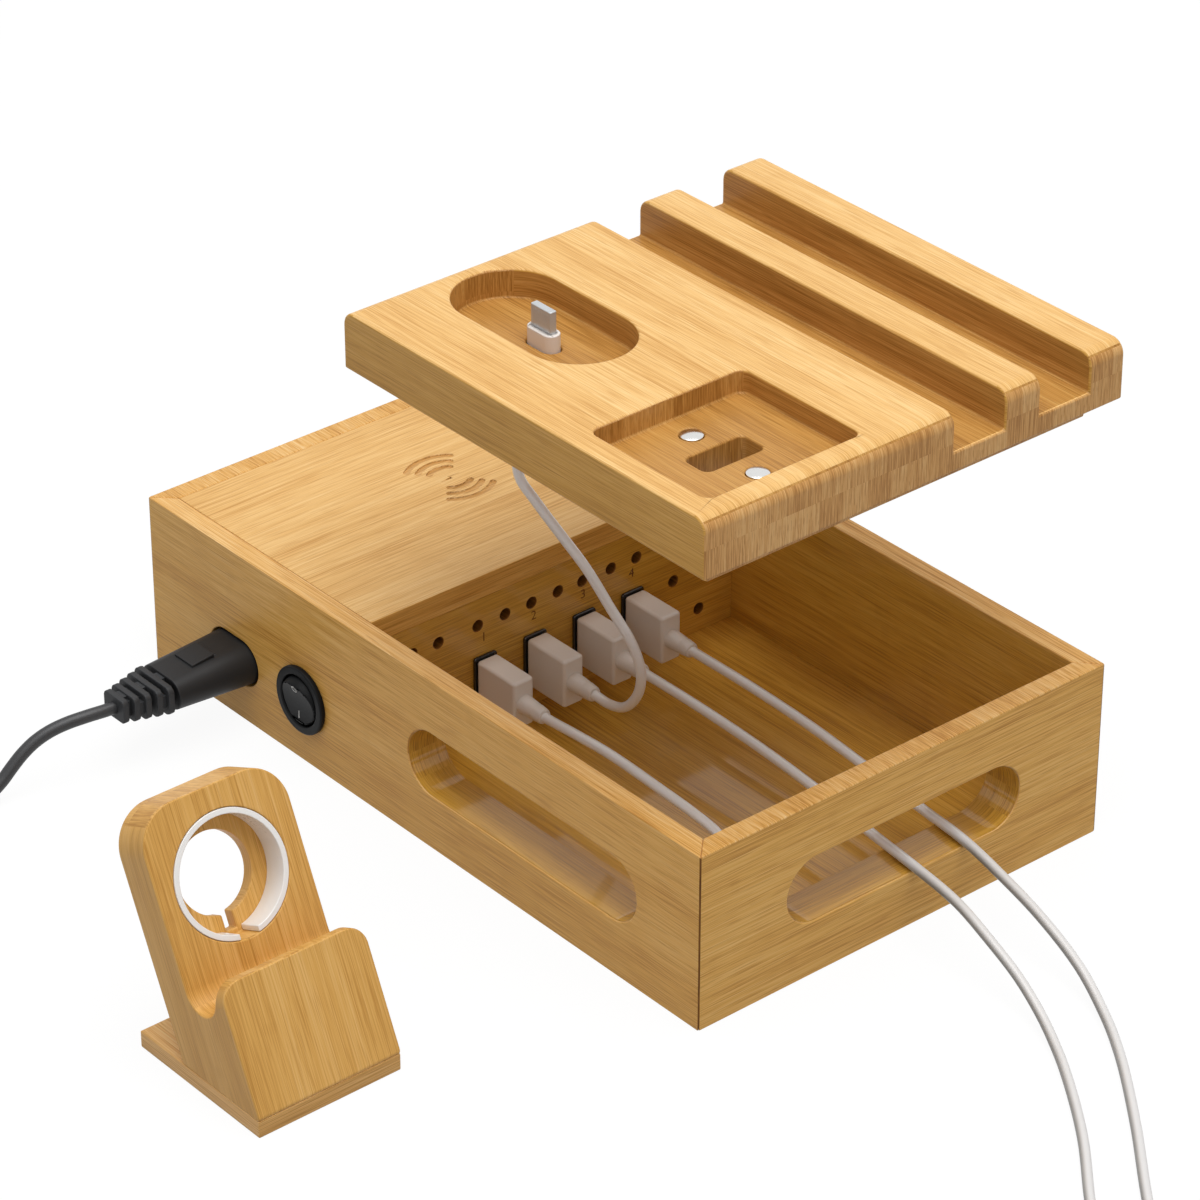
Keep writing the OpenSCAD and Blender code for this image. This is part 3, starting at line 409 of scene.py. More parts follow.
def finishLook(recipe, sockets, specular=0.5):
    surface = recipe.add("BsdfPrincipled", {"Specular IOR Level": specular, **sockets})
    recipe.add("OutputMaterial", {"Surface": surface})
    return recipe.material


def shade(text):
    # a colour as it is seen, written as on the web, in the numbers that shaders use
    parts = [int(text[i:i + 2], 16) / 255 for i in (0, 2, 4)]
    return tuple(p / 12.92 if p <= 0.04045 else ((p + 0.055) / 1.055) ** 2.4 for p in parts) + (1,)


def dimmed(text, share):
    return tuple(part * share for part in shade(text)[:3]) + (1,)


# Bamboo: strips side by side, fine fibres along the grain, satin varnish. Sizes in mm
bambooFinish = {
    "dark": "c58f48", "middle": "e4b56f", "light": "efc98c",
    "strip": 6.2, "stripTone": 0.1, "streakWidth": 1.2, "streakLength": 90, "streakDepth": 40,
    "streakTone": 0.38, "fibreWidth": 0.34, "fibreLength": 26, "fibreDepth": 9, "fibreTone": 1.5,
    "dashWidth": 0.28, "dashLength": 14, "dashDepth": 5, "dashTone": 0.6, "dashFrom": (0.57, 0.68),
    "cloudLength": 90, "cloudWidth": 26, "cloudTone": 0.2, "layerShift": 0.37,
    "knotGap": 236, "knotLength": 1.5, "knotFade": 1.6, "knotTone": 0.08, "joint": 0.12,
    "jointTone": 0.1, "stops": {"dark": 0.12, "middle": 0.5, "light": 0.88}, "roughness": 0.42,
    "swing": 0.16, "specular": 0.22, "varnish": 0.05, "varnishRoughness": 0.2, "relief": 0.14,
    "reliefDepth": 0.00025, "layer": 0, "layerFrom": 0,
    "rowJump": 31, "toneJump": 40, "knotJump": 913,  # how far apart neighbours read the noise
}


def bambooLook(name, along, across, through, turn=0, shift=0, **changes):
    # along, across and through are 0, 1 or 2 for x, y or z
    have = {**bambooFinish, **changes}
    mix = newLook(name)
    axes = mix.axes(turn)
    run, side, depth = axes[along], axes[across] + shift, axes[through]
    strips = side / have["strip"]
    row = strips.floor()
    if have["layer"]:
        layer = ((run - have["layerFrom"]) / have["layer"]).floor()
        strips = strips + layer * have["layerShift"]
        row = strips.floor() + layer * have["rowJump"]
    tone = mix.chance(mix.vector(row, shift + 0.5, 0.5))
    lift = side + tone * have["toneJump"]

    def grained(kind, detail):
        return mix.noise(mix.vector(run / have[kind + "Length"], lift / have[kind + "Width"],
                                    depth / have[kind + "Depth"]), detail=detail)

    streak, fibre = grained("streak", 3), grained("fibre", 2)
    dashes = grained("dash", 1).over(*have["dashFrom"])
    wide = have["cloudWidth"]
    cloud = mix.noise(mix.vector(run / have["cloudLength"], side / wide, depth / wide), detail=1)
    value = (0.5 + (tone - 0.5) * have["stripTone"] * 2 + (streak - 0.5) * have["streakTone"]
             + (fibre - 0.5) * have["fibreTone"] + (cloud - 0.5) * have["cloudTone"])
    stops = [(place, shade(have[key])) for key, place in have["stops"].items()]
    colour = mix.add("ValToRGB", {0: value}, stops=stops)
    colour = mix.blend(dashes * have["dashTone"], colour, shade(have["dark"]))
    place = ((run + tone * have["knotJump"]) / have["knotGap"]).part()
    knot = (place - 0.5).size() * have["knotGap"]
    knot = 1 - knot.over(have["knotLength"] / 2, have["knotLength"] * have["knotFade"])
    seam = 1 - ((strips.part() - 0.5).size() * -1 + 0.5).over(0, have["joint"] / have["strip"])
    marks = knot * have["knotTone"] + seam * have["jointTone"]
    colour = mix.blend(marks, colour, shade(have["dark"]))
    height = fibre * 0.5 + streak * 0.3 - dashes * 0.5 - seam * 0.4 + knot * 0.4
    return finishLook(mix, {
        "Base Color": colour,
        "Roughness": fibre * have["swing"] + (have["roughness"] - have["swing"] / 2),
        "Coat Weight": have["varnish"],
        "Coat Roughness": have["varnishRoughness"],
        "Normal": mix.bump(height, have["relief"], have["reliefDepth"]),
    }, have["specular"])


endTone = {"dark": "a8743a", "middle": "cf9b5c", "light": "deb277"}
# painted shade: a board's upright faces along the grain take a darker, more saturated copy of the top's
# tone
shadedSideTone = {"dark": "ba8034", "middle": "e3ad57", "light": "eec176"}
sideShift = 3.1  # mm, so that two faces of a board don't match


def bambooSet(name, grain, turn=0, shift=0, **changes):
    # looks for the faces of a board: its wide face, its other face and its ends
    pairs = {0: (1, 2), 1: (0, 2), 2: (1, 0)}[grain]
    ends = {"strip": 9, "stripTone": 0.17, "streakWidth": 0.9, "streakLength": 30, "streakTone": 0.7,
            "fibreWidth": 0.34, "fibreLength": 9, "dashLength": 4, "knotTone": 0, "layer": 9.5, **endTone,
            **changes}
    return [
        bambooLook(name + "Top", grain, pairs[0], pairs[1], turn, shift, **changes),
        bambooLook(name + "Side", grain, pairs[1], pairs[0], turn, shift + sideShift,
                   **{**shadedSideTone, **changes}),
        bambooLook(name + "End", pairs[1], pairs[0], grain, turn, shift, **ends),
    ]


# painted shade: inside the bay the wood takes darker, more saturated tones than outside, with a glossier
# varnish
bayShadeFinish = {"dark": "a67320", "middle": "cf9b36", "light": "deae50", "specular": 0.4, "varnish": 0.6,
             "varnishRoughness": 0.07, "dashTone": 0.5, "knotTone": 0.1}
leanTurn = math.radians(24.5)
woodX = bambooSet("bambooAlongX", 0)
woodY = bambooSet("bambooAlongY", 1, shift=11)
lidWood = bambooSet("bambooLid", 0, shift=47, layerFrom=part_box("lid_panel")[0].z / mm)
# painted shade: the lid's upright faces along its length take darker tones than its top
lidWood[1] = bambooLook("bambooLidFrontShaded", 0, 2, 1, shift=50, dark="a8752b", middle="cd9a48",
                        light="dbac62")
# painted shade: the faces routed into the lid, the floors and walls of its recesses, take darker tones
routedShadedWood = bambooSet("bambooRoutedShaded", 0, shift=47, dark="96662a", middle="bb8743", light="cd9e59",
                        streakTone=0.5)
standWood = bambooSet("bambooStand", 2, turn=leanTurn, shift=83, strip=5.2, fibreTone=0.95, dashTone=0.45,
                      dark="b17b33", middle="d8a557", light="e6b974")
bayX = bambooSet("bambooBayX", 0, shift=5, **bayShadeFinish)
bayY = bambooSet("bambooBayY", 1, shift=19, **bayShadeFinish)
# painted light: the foot takes lighter tones than the other boards, its ends too
footWood = bambooSet("bambooFoot", 0, shift=5, dark="c9964e", middle="edbb78", light="f6d498")
footWood[2] = bambooLook("bambooFootEnd", 1, 2, 0, dark="b07f3c", middle="d8a45c", light="e6bb7c")
rimFinish = {"dark": "b77d34", "middle": "e0ab5e", "light": "edc68a", "streakTone": 0.6}
rimX = bambooLook("bambooRimX", 0, 1, 2, shift=5, **rimFinish)
rimY = bambooLook("bambooRimY", 0, 1, 2, shift=7, streakLength=12, fibreLength=8, **rimFinish)
edgeWood = bambooLook("bambooEdge", 0, 1, 2, dark="6b4216", middle="85561f", light="9c6a2e")
say("wood looks")


# Boards: merged copies of the CAD solids with their edges eased
flatAngle = math.radians(0.3)
edgeAngle = math.radians(30)
joinReach = 2e-6  # m, how near two corners, or a corner and an edge, are joined


def copyNode(node):
    builder = bmesh.new()
    builder.from_mesh(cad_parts[node].data)
    weld(builder, joinReach)
    bmesh.ops.dissolve_limit(builder, angle_limit=flatAngle, verts=builder.verts, edges=builder.edges)
    for face in builder.faces:
        face.material_index = 0
    return builder


def bevelEdges(builder, edges, width, steps=2, look=-1, clamp=True, slide=False):
    return bmesh.ops.bevel(
        builder, geom=edges, offset=width * mm, offset_type="OFFSET", segments=steps, profile=0.5,
        affect="EDGES", clamp_overlap=clamp, loop_slide=slide, material=look)


def easeEdges(builder, width, steps=2, choose=None, look=-1, clamp=False):
    bevelEdges(builder, [edge for edge in builder.edges
                         if len(edge.link_faces) == 2 and edge.calc_face_angle(0) > edgeAngle
                         and (choose is None or choose(edge))], width, steps, look, clamp, True)


def settleMesh(name, builder, looks, angle=50):
    # a plain mesh whose wide faces keep their flat shading
    mesh = meshFrom(name, builder)
    for look in looks:
        mesh.materials.append(look)
    smoothMesh(mesh, angle)
    return applied(name, mesh, "WEIGHTED_NORMAL", {"keep_sharp": True})


def applied(name, mesh, kind, settings):
    # the mesh that one modifier makes of another
    holder = link(name, mesh)
    modifier = holder.modifiers.new("finish", kind)
    for key, value in settings.items():
        setattr(modifier, key, value)
    return realised(holder, name)


def faceIndex(face, grain, spin):
    # 0 for the board's wide face, 1 for its other face, 2 for its ends
    normal = spin @ face.normal
    sizes = [abs(part) for part in normal]
    facing = sizes.index(max(sizes))
    return {0: (2, 1, 0), 1: (1, 2, 0), 2: (0, 1, 2)}[grain][facing]


edgeSlot = 3


def makeBoard(name, node, body, slot, looks, grain, width, steps=2, turn=0, dark=None, inner=None,
              burnt=None):
    # looks: three by facing, one for edges, and perhaps three for inner faces. dark picks the eased
    # edges that show a dark line, inner the inner faces, and the last picker the faces that take the
    # edges' dark look
    spin = Matrix.Rotation(turn, 3, "Y")
    builder = copyNode(node)
    easeEdges(builder, width, steps, look=edgeSlot)
    builder.normal_update()
    for face in builder.faces:
        middle = face.calc_center_median() - corner
        if face.material_index == edgeSlot and dark and dark(middle / mm):
            continue
        face.material_index = faceIndex(face, grain, spin)
        if burnt and burnt(middle / mm, face.normal):
            face.material_index = edgeSlot
        if inner and inner(middle / mm, face.normal):
            face.material_index += edgeSlot + 1
    return newPiece(name, settleMesh(name, builder, looks), body, slot, node)


def prism(builder, outline, low, high, place):
    # a solid over an outline; place turns a point and a height into a place on the piece
    addSkin(builder, [[builder.verts.new(place(p, height)) for p in outline] for height in (low, high)])


mostJoins = 40  # slits without width that one cut may leave


def joinSplit(builder):
    # joins an open edge to an open corner that lies along it
    openEdges = [edge for edge in builder.edges if len(edge.link_faces) == 1]
    for edge in openEdges:
        start, end = edge.verts
        along = end.co - start.co
        for spot in (vert for other in openEdges for vert in other.verts if vert not in (start, end)):
            share = (spot.co - start.co).dot(along) / along.length_squared
            if 0 < share < 1 and (start.co + along * share - spot.co).length < joinReach:
                made = bmesh.utils.edge_split(edge, start, share)[1]
                made.co = spot.co
                bmesh.ops.remove_doubles(builder, verts=[made, spot], dist=joinReach)
                return True
    return False


def engrave(piece, builder, look):
    # cuts a shape out of a piece; the cut faces get the look
    mesh = meshFrom(piece.name + "Cutter", builder)
    index = len(piece.data.materials)
    piece.data.materials.append(look)
    for i in range(index + 1):
        mesh.materials.append(look)
    for polygon in mesh.polygons:
        polygon.material_index = index
    cutter = link(piece.name + "Cutter", mesh)
    cut = applied(piece.name, piece.data.copy(), "BOOLEAN",
                  {"operation": "DIFFERENCE", "solver": "EXACT", "object": cutter})
    bpy.data.objects.remove(cutter)
    tidied = bmesh.new()
    tidied.from_mesh(cut)
    weld(tidied, joinReach)
    bmesh.ops.dissolve_limit(tidied, angle_limit=flatAngle, verts=tidied.verts, edges=tidied.edges,
                             delimit={"MATERIAL"})
    for i in range(mostJoins):
        if not joinSplit(tidied):
            break
    piece.data = settleMesh(piece.name, tidied, list(piece.data.materials))


lowBox = corner
highBox = Vector((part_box("right_wall")[1].x, *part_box("back_wall")[1].yz))
boxSize = (highBox - lowBox) / mm
wallT = (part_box("front_wall")[1].y - lowBox.y) / mm
rimGap = 0.8  # mm, how near to the box's outside an edge counts as an outer one
rimDepth = 0.4  # mm, how far down the rim's own look reaches
rimBand = 1  # mm below the top, down to where a level face is still the rim's
levelFrom = 0.9  # a normal this far up belongs to a level face


def outerEdge(p):
    return max(min(p.x, boxSize.x - p.x), min(p.y, boxSize.y - p.y)) < rimGap


def wallInside(p, normal):
    deep = min(p.x, p.y, boxSize.x - p.x, boxSize.y - p.y) > rimGap
    return deep and (abs(normal.z) < levelFrom or p.z < boxSize.z - rimBand)


boards = {}


def addBoard(name, node, *rest, body="base", slot="bamboo", **more):
    boards[name] = makeBoard(name, node, body, slot, *rest, **more)
    return boards[name].data.materials, boards[name].data.polygons


for name, node, grain in (("frontWall", "front_wall", 0), ("backWall", "back_wall", 0),
                          ("leftWall", "left_wall", 1), ("rightWall", "right_wall", 1)):
    looks = (woodX + [edgeWood] + bayX) if grain == 0 else (woodY + [edgeWood] + bayY)
    materials, polygons = addBoard(name, node, looks, grain, width=0.45, dark=outerEdge, inner=wallInside)
    materials.append(rimX if grain == 0 else rimY)
    for polygon in polygons:
        if (polygon.center - corner).z > (boxSize.z - rimDepth) * mm:
            polygon.material_index = len(materials) - 1
ventZone = {"low": 10, "inset": 8, "top": 51, "facing": 0.95}  # mm; where the panel is drilled
lidLow, lidHigh = [(place - corner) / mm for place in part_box("lid_panel")]
routedInset = 1.2  # mm from the lid's outside


def inVent(p, normal):
    return (abs(normal.x) < ventZone["facing"] and ventZone["low"] < p.z < ventZone["top"]
            and ventZone["inset"] < p.y < boxSize.y - ventZone["inset"])


def inRouted(p, normal):
    return min(*(p - lidLow), *(lidHigh - p)) > routedInset


addBoard("floorBoard", "base_floor", bayX, 0, width=0.3)
addBoard("portPanel", "port_panel", bayY + [edgeWood], 1, width=0.25, burnt=inVent)
addBoard("deck", "charging_deck", woodY, 1, width=0.3)
addBoard("lid", "lid_panel", lidWood + [edgeWood] + routedShadedWood, 0, body="lid", width=0.8, steps=3,
         inner=inRouted)
addBoard("lidFrame", "lid_locating_frame", woodX, 0, body="lid", slot="bamboo_strip", width=0.6)
addBoard("standBody", "stand_body", standWood, 2, body="watch_stand", width=0.5, turn=leanTurn)
addBoard("standFoot", "stand_foot", footWood, 0, body="watch_stand", width=0.4)


# A bent veneer lines each opening and stands into the bay as a thicker lip. Places and sizes in mm
lining = {"veneer": 0.15, "from": 0.6, "thick": 1.5, "reach": 7, "height": 22.5, "middle": 30,
          "steps": 14, "ease": 0.3}
linedSlots = {
    "frontLining": {"length": 106, "middle": 184.25, "grain": 0, "looks": bayX},
    "rightLining": {"length": 93, "middle": 80, "grain": 1, "looks": bayY},
}


def slotOutline(slot, spare):
    # the round-ended opening as places along the wall and up it
    radius, steps = lining["height"] / 2, lining["steps"]
    half = slot["length"] / 2 - radius
    line = []
    for side in (1, -1):
        for i in range(steps + 1):
            turn = math.pi * (i / steps - 0.5)
            line.append((slot["middle"] + side * (half + (radius + spare) * math.cos(turn)),
                         lining["middle"] + side * (radius + spare) * math.sin(turn)))
    return line


def makeLining(name, slot):
    def place(point, depth):
        if slot["grain"] == 0:
            return at(point[0], depth, point[1])
        return at(boxSize.x - depth, point[0], point[1])

    end = wallT + lining["reach"]
    section = [(-lining["veneer"], lining["from"]), (-lining["veneer"], end), (lining["thick"], end),
               (lining["thick"], wallT), (0, wallT), (0, lining["from"])]
    builder = bmesh.new()
    loops = [[builder.verts.new(place(point, depth)) for point in slotOutline(slot, spare)]
             for spare, depth in section]
    addSkin(builder, loops + loops[:1], capped=False)
    bmesh.ops.recalc_face_normals(builder, faces=builder.faces)
    lip = set(loops[1] + loops[2])
    easeEdges(builder, lining["ease"], choose=lambda edge: lip.issuperset(edge.verts))
    builder.normal_update()
    for face in builder.faces:
        face.material_index = faceIndex(face, slot["grain"], Matrix.Identity(3))
    newPiece(name, settleMesh(name, builder, slot["looks"]), "base", "bamboo_strip")


for name, slot in linedSlots.items():
    makeLining(name, slot)
say("boards")


# Looks of plastic, metal, sheath and circuit board
def plasticLook(name, colour, roughness, grain=0.5, relief=0.1, coat=0.0, tint=0.05, specular=0.5):
    # a moulded plastic; grain is the size in mm of its fine texture
    mix = newLook(name)
    place = mix.vector(*mix.axes())
    fine = mix.noise(place, 1 / grain)
    broad = mix.noise(place, scale=0.06)
    return finishLook(mix, {
        "Base Color": mix.blend(broad * tint * 2 + fine * tint, shade(colour), dimmed(colour, 0.72)),
        "Roughness": fine * 0.12 + broad * 0.1 + (roughness - 0.11),
        "Coat Weight": coat,
        "Coat Roughness": 0.12,
        "Normal": mix.bump(fine, relief, distance=0.0001),
    }, specular)


def metalLook(name, colour, roughness, along=0, length=6, width=0.08, metallic=1.0):
    # a metal brushed along one axis
    mix = newLook(name)
    axes = mix.axes()
    sizes = [width] * 3
    sizes[along] = length
    brushed = mix.noise(mix.vector(*[axis / size for axis, size in zip(axes, sizes)]))
    dull = mix.noise(mix.vector(*axes), scale=0.4)
    return finishLook(mix, {
        "Base Color": mix.blend(dull * 0.5, shade(colour), dimmed(colour, 0.8)),
        "Metallic": metallic,
        "Roughness": brushed * 0.14 + dull * 0.08 + (roughness - 0.1),
        "Normal": mix.bump(brushed, strength=0.08, distance=0.00005),
    })


def sheathLook(name, colour, roughness, coat=0.12, specular=0.5, grain=0.3, markGap=2.2, shadePaint=None):
    # a soft cord sheath, with dust and faint marks across it
    mix = newLook(name)
    run = mix.add("SeparateXYZ", {0: mix.add("TexCoord", out=2)}) * 1000
    marks = mix.noise(mix.vector(run / markGap, 0, 0))
    dust = mix.noise(mix.vector(*mix.axes()), scale=1.4, detail=3)
    base = shade(colour)
    # painted shade: outside the box the cord's colour darkens, most on faces turned towards the given
    # side, away from the light
    if shadePaint:
        facing = mix.add("VectorMath", {0: mix.add("TexCoord", out=1), 1: shadePaint["side"]}, 1,
                         operation="DOT_PRODUCT")
        shadedTone = mix.blend(facing.over(*shadePaint["reach"]), shade(shadePaint["top"]), shade(shadePaint["under"]))
        outside = mix.axes()[0].over(*shadePaint["from"])
        base = mix.blend(outside, base, shadedTone)
        coat = (1 - outside) * coat
    return finishLook(mix, {
        "Base Color": mix.blend(dust * 0.14 + marks * 0.04, base, dimmed(colour, 0.78)),
        "Roughness": dust * 0.14 + (roughness - 0.07),
        "Coat Weight": coat,
        "Coat Roughness": 0.3,
        "Normal": mix.bump(marks * grain + dust * grain, strength=0.04, distance=0.00008),
    }, specular)


def circuitLook(name, mask, trace, pitch=1.3, reach=9):
    # solder mask with tracks under it and tinned pads
    mix = newLook(name)
    x, y, z = mix.axes()
    rowTone = mix.chance(mix.vector(((y + z) / pitch).floor(), 3, 0))
    step = mix.chance(mix.vector((x / reach).floor(), ((y + z) / pitch).floor(), 1))
    line = 1 - (((y + z) / pitch).part() - 0.5).size().over(0.16, 0.24)
    tracks = line * (rowTone + step).over(0.75, 0.8)
    pads = mix.noise(mix.vector(x, y, z), scale=0.55, detail=0).over(0.68, 0.7)
    colour = mix.blend(tracks * 0.7, shade(mask), shade(trace))
    return finishLook(mix, {
        "Base Color": mix.blend(pads * 0.9, colour, shade("c9c7be")),
        "Metallic": pads * 0.9,
        "Roughness": 0.32 + pads * 0.1,
        "Normal": mix.bump(tracks * 0.5 + pads, strength=0.2, distance=0.0001),
    })


def woundLook(name, light, dark, pitch=0.5, along=2, metal=1.0):
    # enamelled wire laid turn by turn
    mix = newLook(name)
    axes = mix.axes()
    turn = ((axes[along] / pitch).part() - 0.5).size() * 2
    patch = mix.noise(mix.vector(*axes), scale=0.3)
    return finishLook(mix, {
        "Base Color": mix.blend(turn * 0.7 + patch * 0.2, shade(light), shade(dark)),
        "Metallic": metal,
        "Roughness": 0.3 + turn * 0.15,
        "Normal": mix.bump(1 - turn, strength=0.5, distance=0.0002),
    })


def speckLook(name, colour, fleck, roughness, size=0.6):
    # a sintered or printed part with fine flecks
    mix = newLook(name)
    place = mix.vector(*mix.axes())
    flecks = mix.noise(place, 1 / size, detail=3).over(0.55, 0.7)
    return finishLook(mix, {
        "Base Color": mix.blend(flecks * 0.6, shade(colour), shade(fleck)),
        "Roughness": roughness + flecks * 0.1,
        "Normal": mix.bump(flecks, strength=0.15, distance=0.0001),
    })


blackMatt = plasticLook("blackMoulding", "1f1f20", roughness=0.5, grain=0.35, relief=0.16, specular=0.3)
blackRelief = plasticLook("blackRelief", "333436", roughness=0.55, grain=0.35, relief=0.16,
                          specular=0.3)
blackSatin = plasticLook("blackSatin", "101112", roughness=0.5, grain=0.6, relief=0.06, specular=0.14)
blackGloss = plasticLook("blackBezel", "141416", roughness=0.22, grain=0.8, relief=0.03, coat=0.5)
pearlPlastic = plasticLook("pearlPlastic", "e6dfd8", roughness=0.38, grain=0.4, relief=0.05, coat=0.15)
whitePlastic = plasticLook("whiteRing", "f1efec", roughness=0.3, grain=0.7, relief=0.03, coat=0.3,
                           tint=0.02)
markWhite = plasticLook("whiteMark", "e9e9e6", roughness=0.45, grain=0.3, relief=0.05)
tieBlack = plasticLook("tieFabric", "303134", roughness=0.8, grain=0.25, relief=0.4)
tieWhite = plasticLook("paleTieFabric", "d8d6d2", roughness=0.8, grain=0.25, relief=0.4)
blackSheath = sheathLook("blackSheath", "2a2a2c", roughness=0.46)
leadShadePaint = {"from": (118, 140), "top": "dedcda", "under": "787672", "side": (-0.6, -0.6, -0.53),
            "reach": (-0.5, 0.7)}  # outside the box the leads are dull and painted darker, darker still on faces turned towards side, down and away from the light: painted shade
pearlSheath = sheathLook("pearlSheath", "f3f2f2", roughness=0.34, coat=1, specular=0.6, grain=0.06,
                         shadePaint=leadShadePaint)
nickel = metalLook("nickel", "d9d9d6", roughness=0.2)
plated = metalLook("platedTab", "c6c9cc", roughness=0.3, along=0, metallic=0.45)
brightMetal = metalLook("magnetNickel", "e4e4e2", roughness=0.16, along=1)
tinPlate = metalLook("tinPlate", "b9b9b6", roughness=0.32, along=2)
greenBoard = circuitLook("powerBoardMask", "1c5a35", "3d8a52")
copperWire = woundLook("copperWire", "d08a50", "7c4420")
coilWire = woundLook("coilStrands", "c9814a", "8a4d25", pitch=0.3, along=0)
ferrite = speckLook("ferrite", "3b3c40", "55565b", roughness=0.7)
capSleeve = speckLook("capacitorSleeve", "24262b", "3a3d44", roughness=0.35, size=2.5)
wireSleeve = speckLook("wireSleeve", "2c2c30", "44444a", roughness=0.5, size=1.5)
say("other looks")

for cord, piece, line in cords:
    piece.data.materials.append(blackSheath if cord is powerCord else pearlSheath)


# Geometry Nodes: a tree with named inputs, grown once into a plain mesh
class GrowTree:
    def __init__(self, name, inputs):
        self.tree = bpy.data.node_groups.new(name, "GeometryNodeTree")
        self.recipe = Recipe(self.tree)
        self.marks = {}
        kinds = {float: "NodeSocketFloat", int: "NodeSocketInt"}
        for title, value in inputs.items():
            socket = self.tree.interface.new_socket(title, in_out="INPUT", socket_type=kinds[type(value)])
            self.marks[title] = socket.identifier
        self.tree.interface.new_socket("Geometry", in_out="OUTPUT", socket_type="NodeSocketGeometry")
        self.values = inputs
        first = self.recipe.add("GroupInput", family="Node")
        self.have = dict(zip(inputs, (Wire(self.recipe, output) for output in first.socket.node.outputs)))

    def add(self, kind, *sockets, **settings):
        return self.recipe.add(kind, *sockets, family="GeometryNode", **settings)

    def alsoLink(self, wire, node, key):
        # one more link into a socket that takes several
        self.tree.links.new(wire.socket, node.socket.node.inputs[key])

    def end(self, shape, look):
        real = self.add("RealizeInstances", {0: shape})
        made = self.add("SetMaterial", {"Geometry": real, "Material": look})
        self.recipe.add("GroupOutput", {0: made}, family="Node")

    def grow(self, name):
        holder = link(name, bpy.data.meshes.new(name))
        modifier = holder.modifiers.new("grow", "NODES")
        modifier.node_group = self.tree
        for title, value in self.values.items():
            modifier[self.marks[title]] = value
        return realised(holder, name)


def growPiece(tree, name, look, slot, node, place):
    builder = bmesh.new()
    builder.from_mesh(tree.grow(name))
    bmesh.ops.translate(builder, vec=place, verts=builder.verts)
    newPiece(name, settleMesh(name, builder, [look]), "base", slot, node)


# Moulded pieces: merged copies of CAD solids with eased edges
def makeMoulding(name, node, body, look, slot, width, steps=2, choose=None, clamp=False, more=None):
    # choose picks the edges to ease; more changes the mesh afterwards
    builder = copyNode(node)
    easeEdges(builder, width, steps, choose, clamp=clamp)
    if more:
        more(builder)
    return newPiece(name, settleMesh(name, builder, [look]), body, slot, node)


def middleOf(node):
    low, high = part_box(node)
    return (low + high) / 2


# Port plugs: a moulded grip and a stepped sleeve round the lead
grip = {
    "length": 18.2, "width": 8, "height": 17, "edge": 1.1, "steps": 4,
    "sleeve": [(-0.6, 3.2), (0.4, 3.15), (5.2, 2.85), (5.6, 2.65), (6.2, 2.65), (6.6, 2.8), (9.3, 2.55),
               (9.9, 2.3), (10, 1.9), (10, 1.55)],
}
plugBodies = {1: "lead_1", 2: "base", 3: "lead_3", 4: "lead_4"}


def addLathe(builder, profile, start, along, sides=32):
    # turns (distance, radius) pairs round an axis; both ends are closed
    along = Vector(along).normalized()
    side = along.orthogonal().normalized()
    across = along.cross(side)
    addSkin(builder, [addRing(builder, start + along * distance * mm, side, across, radius * mm, sides)
                      for distance, radius in profile])


def addBlock(builder, low, high):
    # a closed box between two corners; returns its verts
    verts = bmesh.ops.create_cube(builder, size=1)["verts"]
    bmesh.ops.scale(builder, vec=high - low, verts=verts)
    bmesh.ops.translate(builder, vec=(low + high) / 2, verts=verts)
    return verts


def makePortPlug(number):
    node, name = f"port_plug_{number}", f"portPlug{number}"
    near = middleOf(node)
    near.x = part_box(node)[0].x
    far = near + Vector((grip["length"] * mm, 0, 0))
    half = Vector((0, grip["width"] / 2, grip["height"] / 2)) * mm
    builder = bmesh.new()
    addBlock(builder, near - half, far + half)
    bevelEdges(builder, builder.edges[:], grip["edge"], grip["steps"])
    addLathe(builder, grip["sleeve"], far, (1, 0, 0))
    mesh = settleMesh(name, builder, [pearlPlastic])
    newPiece(name, mesh, plugBodies[number], "pearl_plastic", node)


for number in plugBodies:
    makePortPlug(number)
makeMoulding("portBezels", "port_bezels", "base", blackGloss, "black_gloss", width=0.25)
say("port plugs")

# The power plug: a drawn-out rounded body with a raised pad, and a ribbed relief behind it
easedFrom = 2  # mm in front of the wall
plugPad = {"width": 9.5, "length": 8.5, "rise": 0.75, "back": 15, "sink": 1.2, "edge": 0.3, "above": 5}


def outsideWall(edge):
    return all(vert.co.y < corner.y - easedFrom * mm for vert in edge.verts)


def addPad(builder):
    # a low pad on the plug's sloping top
    tree = BVHTree.FromBMesh(builder)
    x, top = middleOf("power_plug").x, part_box("power_plug")[1].z + plugPad["above"] * mm
    spots = [tree.ray_cast(Vector((x, corner.y - y * mm, top)), Vector((0, 0, -1)))[0]
             for y in (plugPad["back"] - plugPad["length"] / 2, plugPad["back"] + plugPad["length"] / 2)]
    slope = math.atan2(spots[0].z - spots[1].z, spots[0].y - spots[1].y)
    half = Vector((plugPad["width"] / 2, plugPad["length"] / 2, 0)) * mm
    verts = addBlock(builder, -half - Vector((0, 0, plugPad["sink"])) * mm,
                     half + Vector((0, 0, plugPad["rise"])) * mm)
    edges = [edge for edge in dict.fromkeys(e for vert in verts for e in vert.link_edges)
             if max(vert.co.z for vert in edge.verts) > 0]
    made = bevelEdges(builder, edges, plugPad["edge"])
    verts = list(set(made["verts"]) | {vert for vert in verts if vert.is_valid})
    bmesh.ops.rotate(builder, matrix=Matrix.Rotation(slope, 3, "X"), verts=verts)
    bmesh.ops.translate(builder, vec=(spots[0] + spots[1]) / 2, verts=verts)


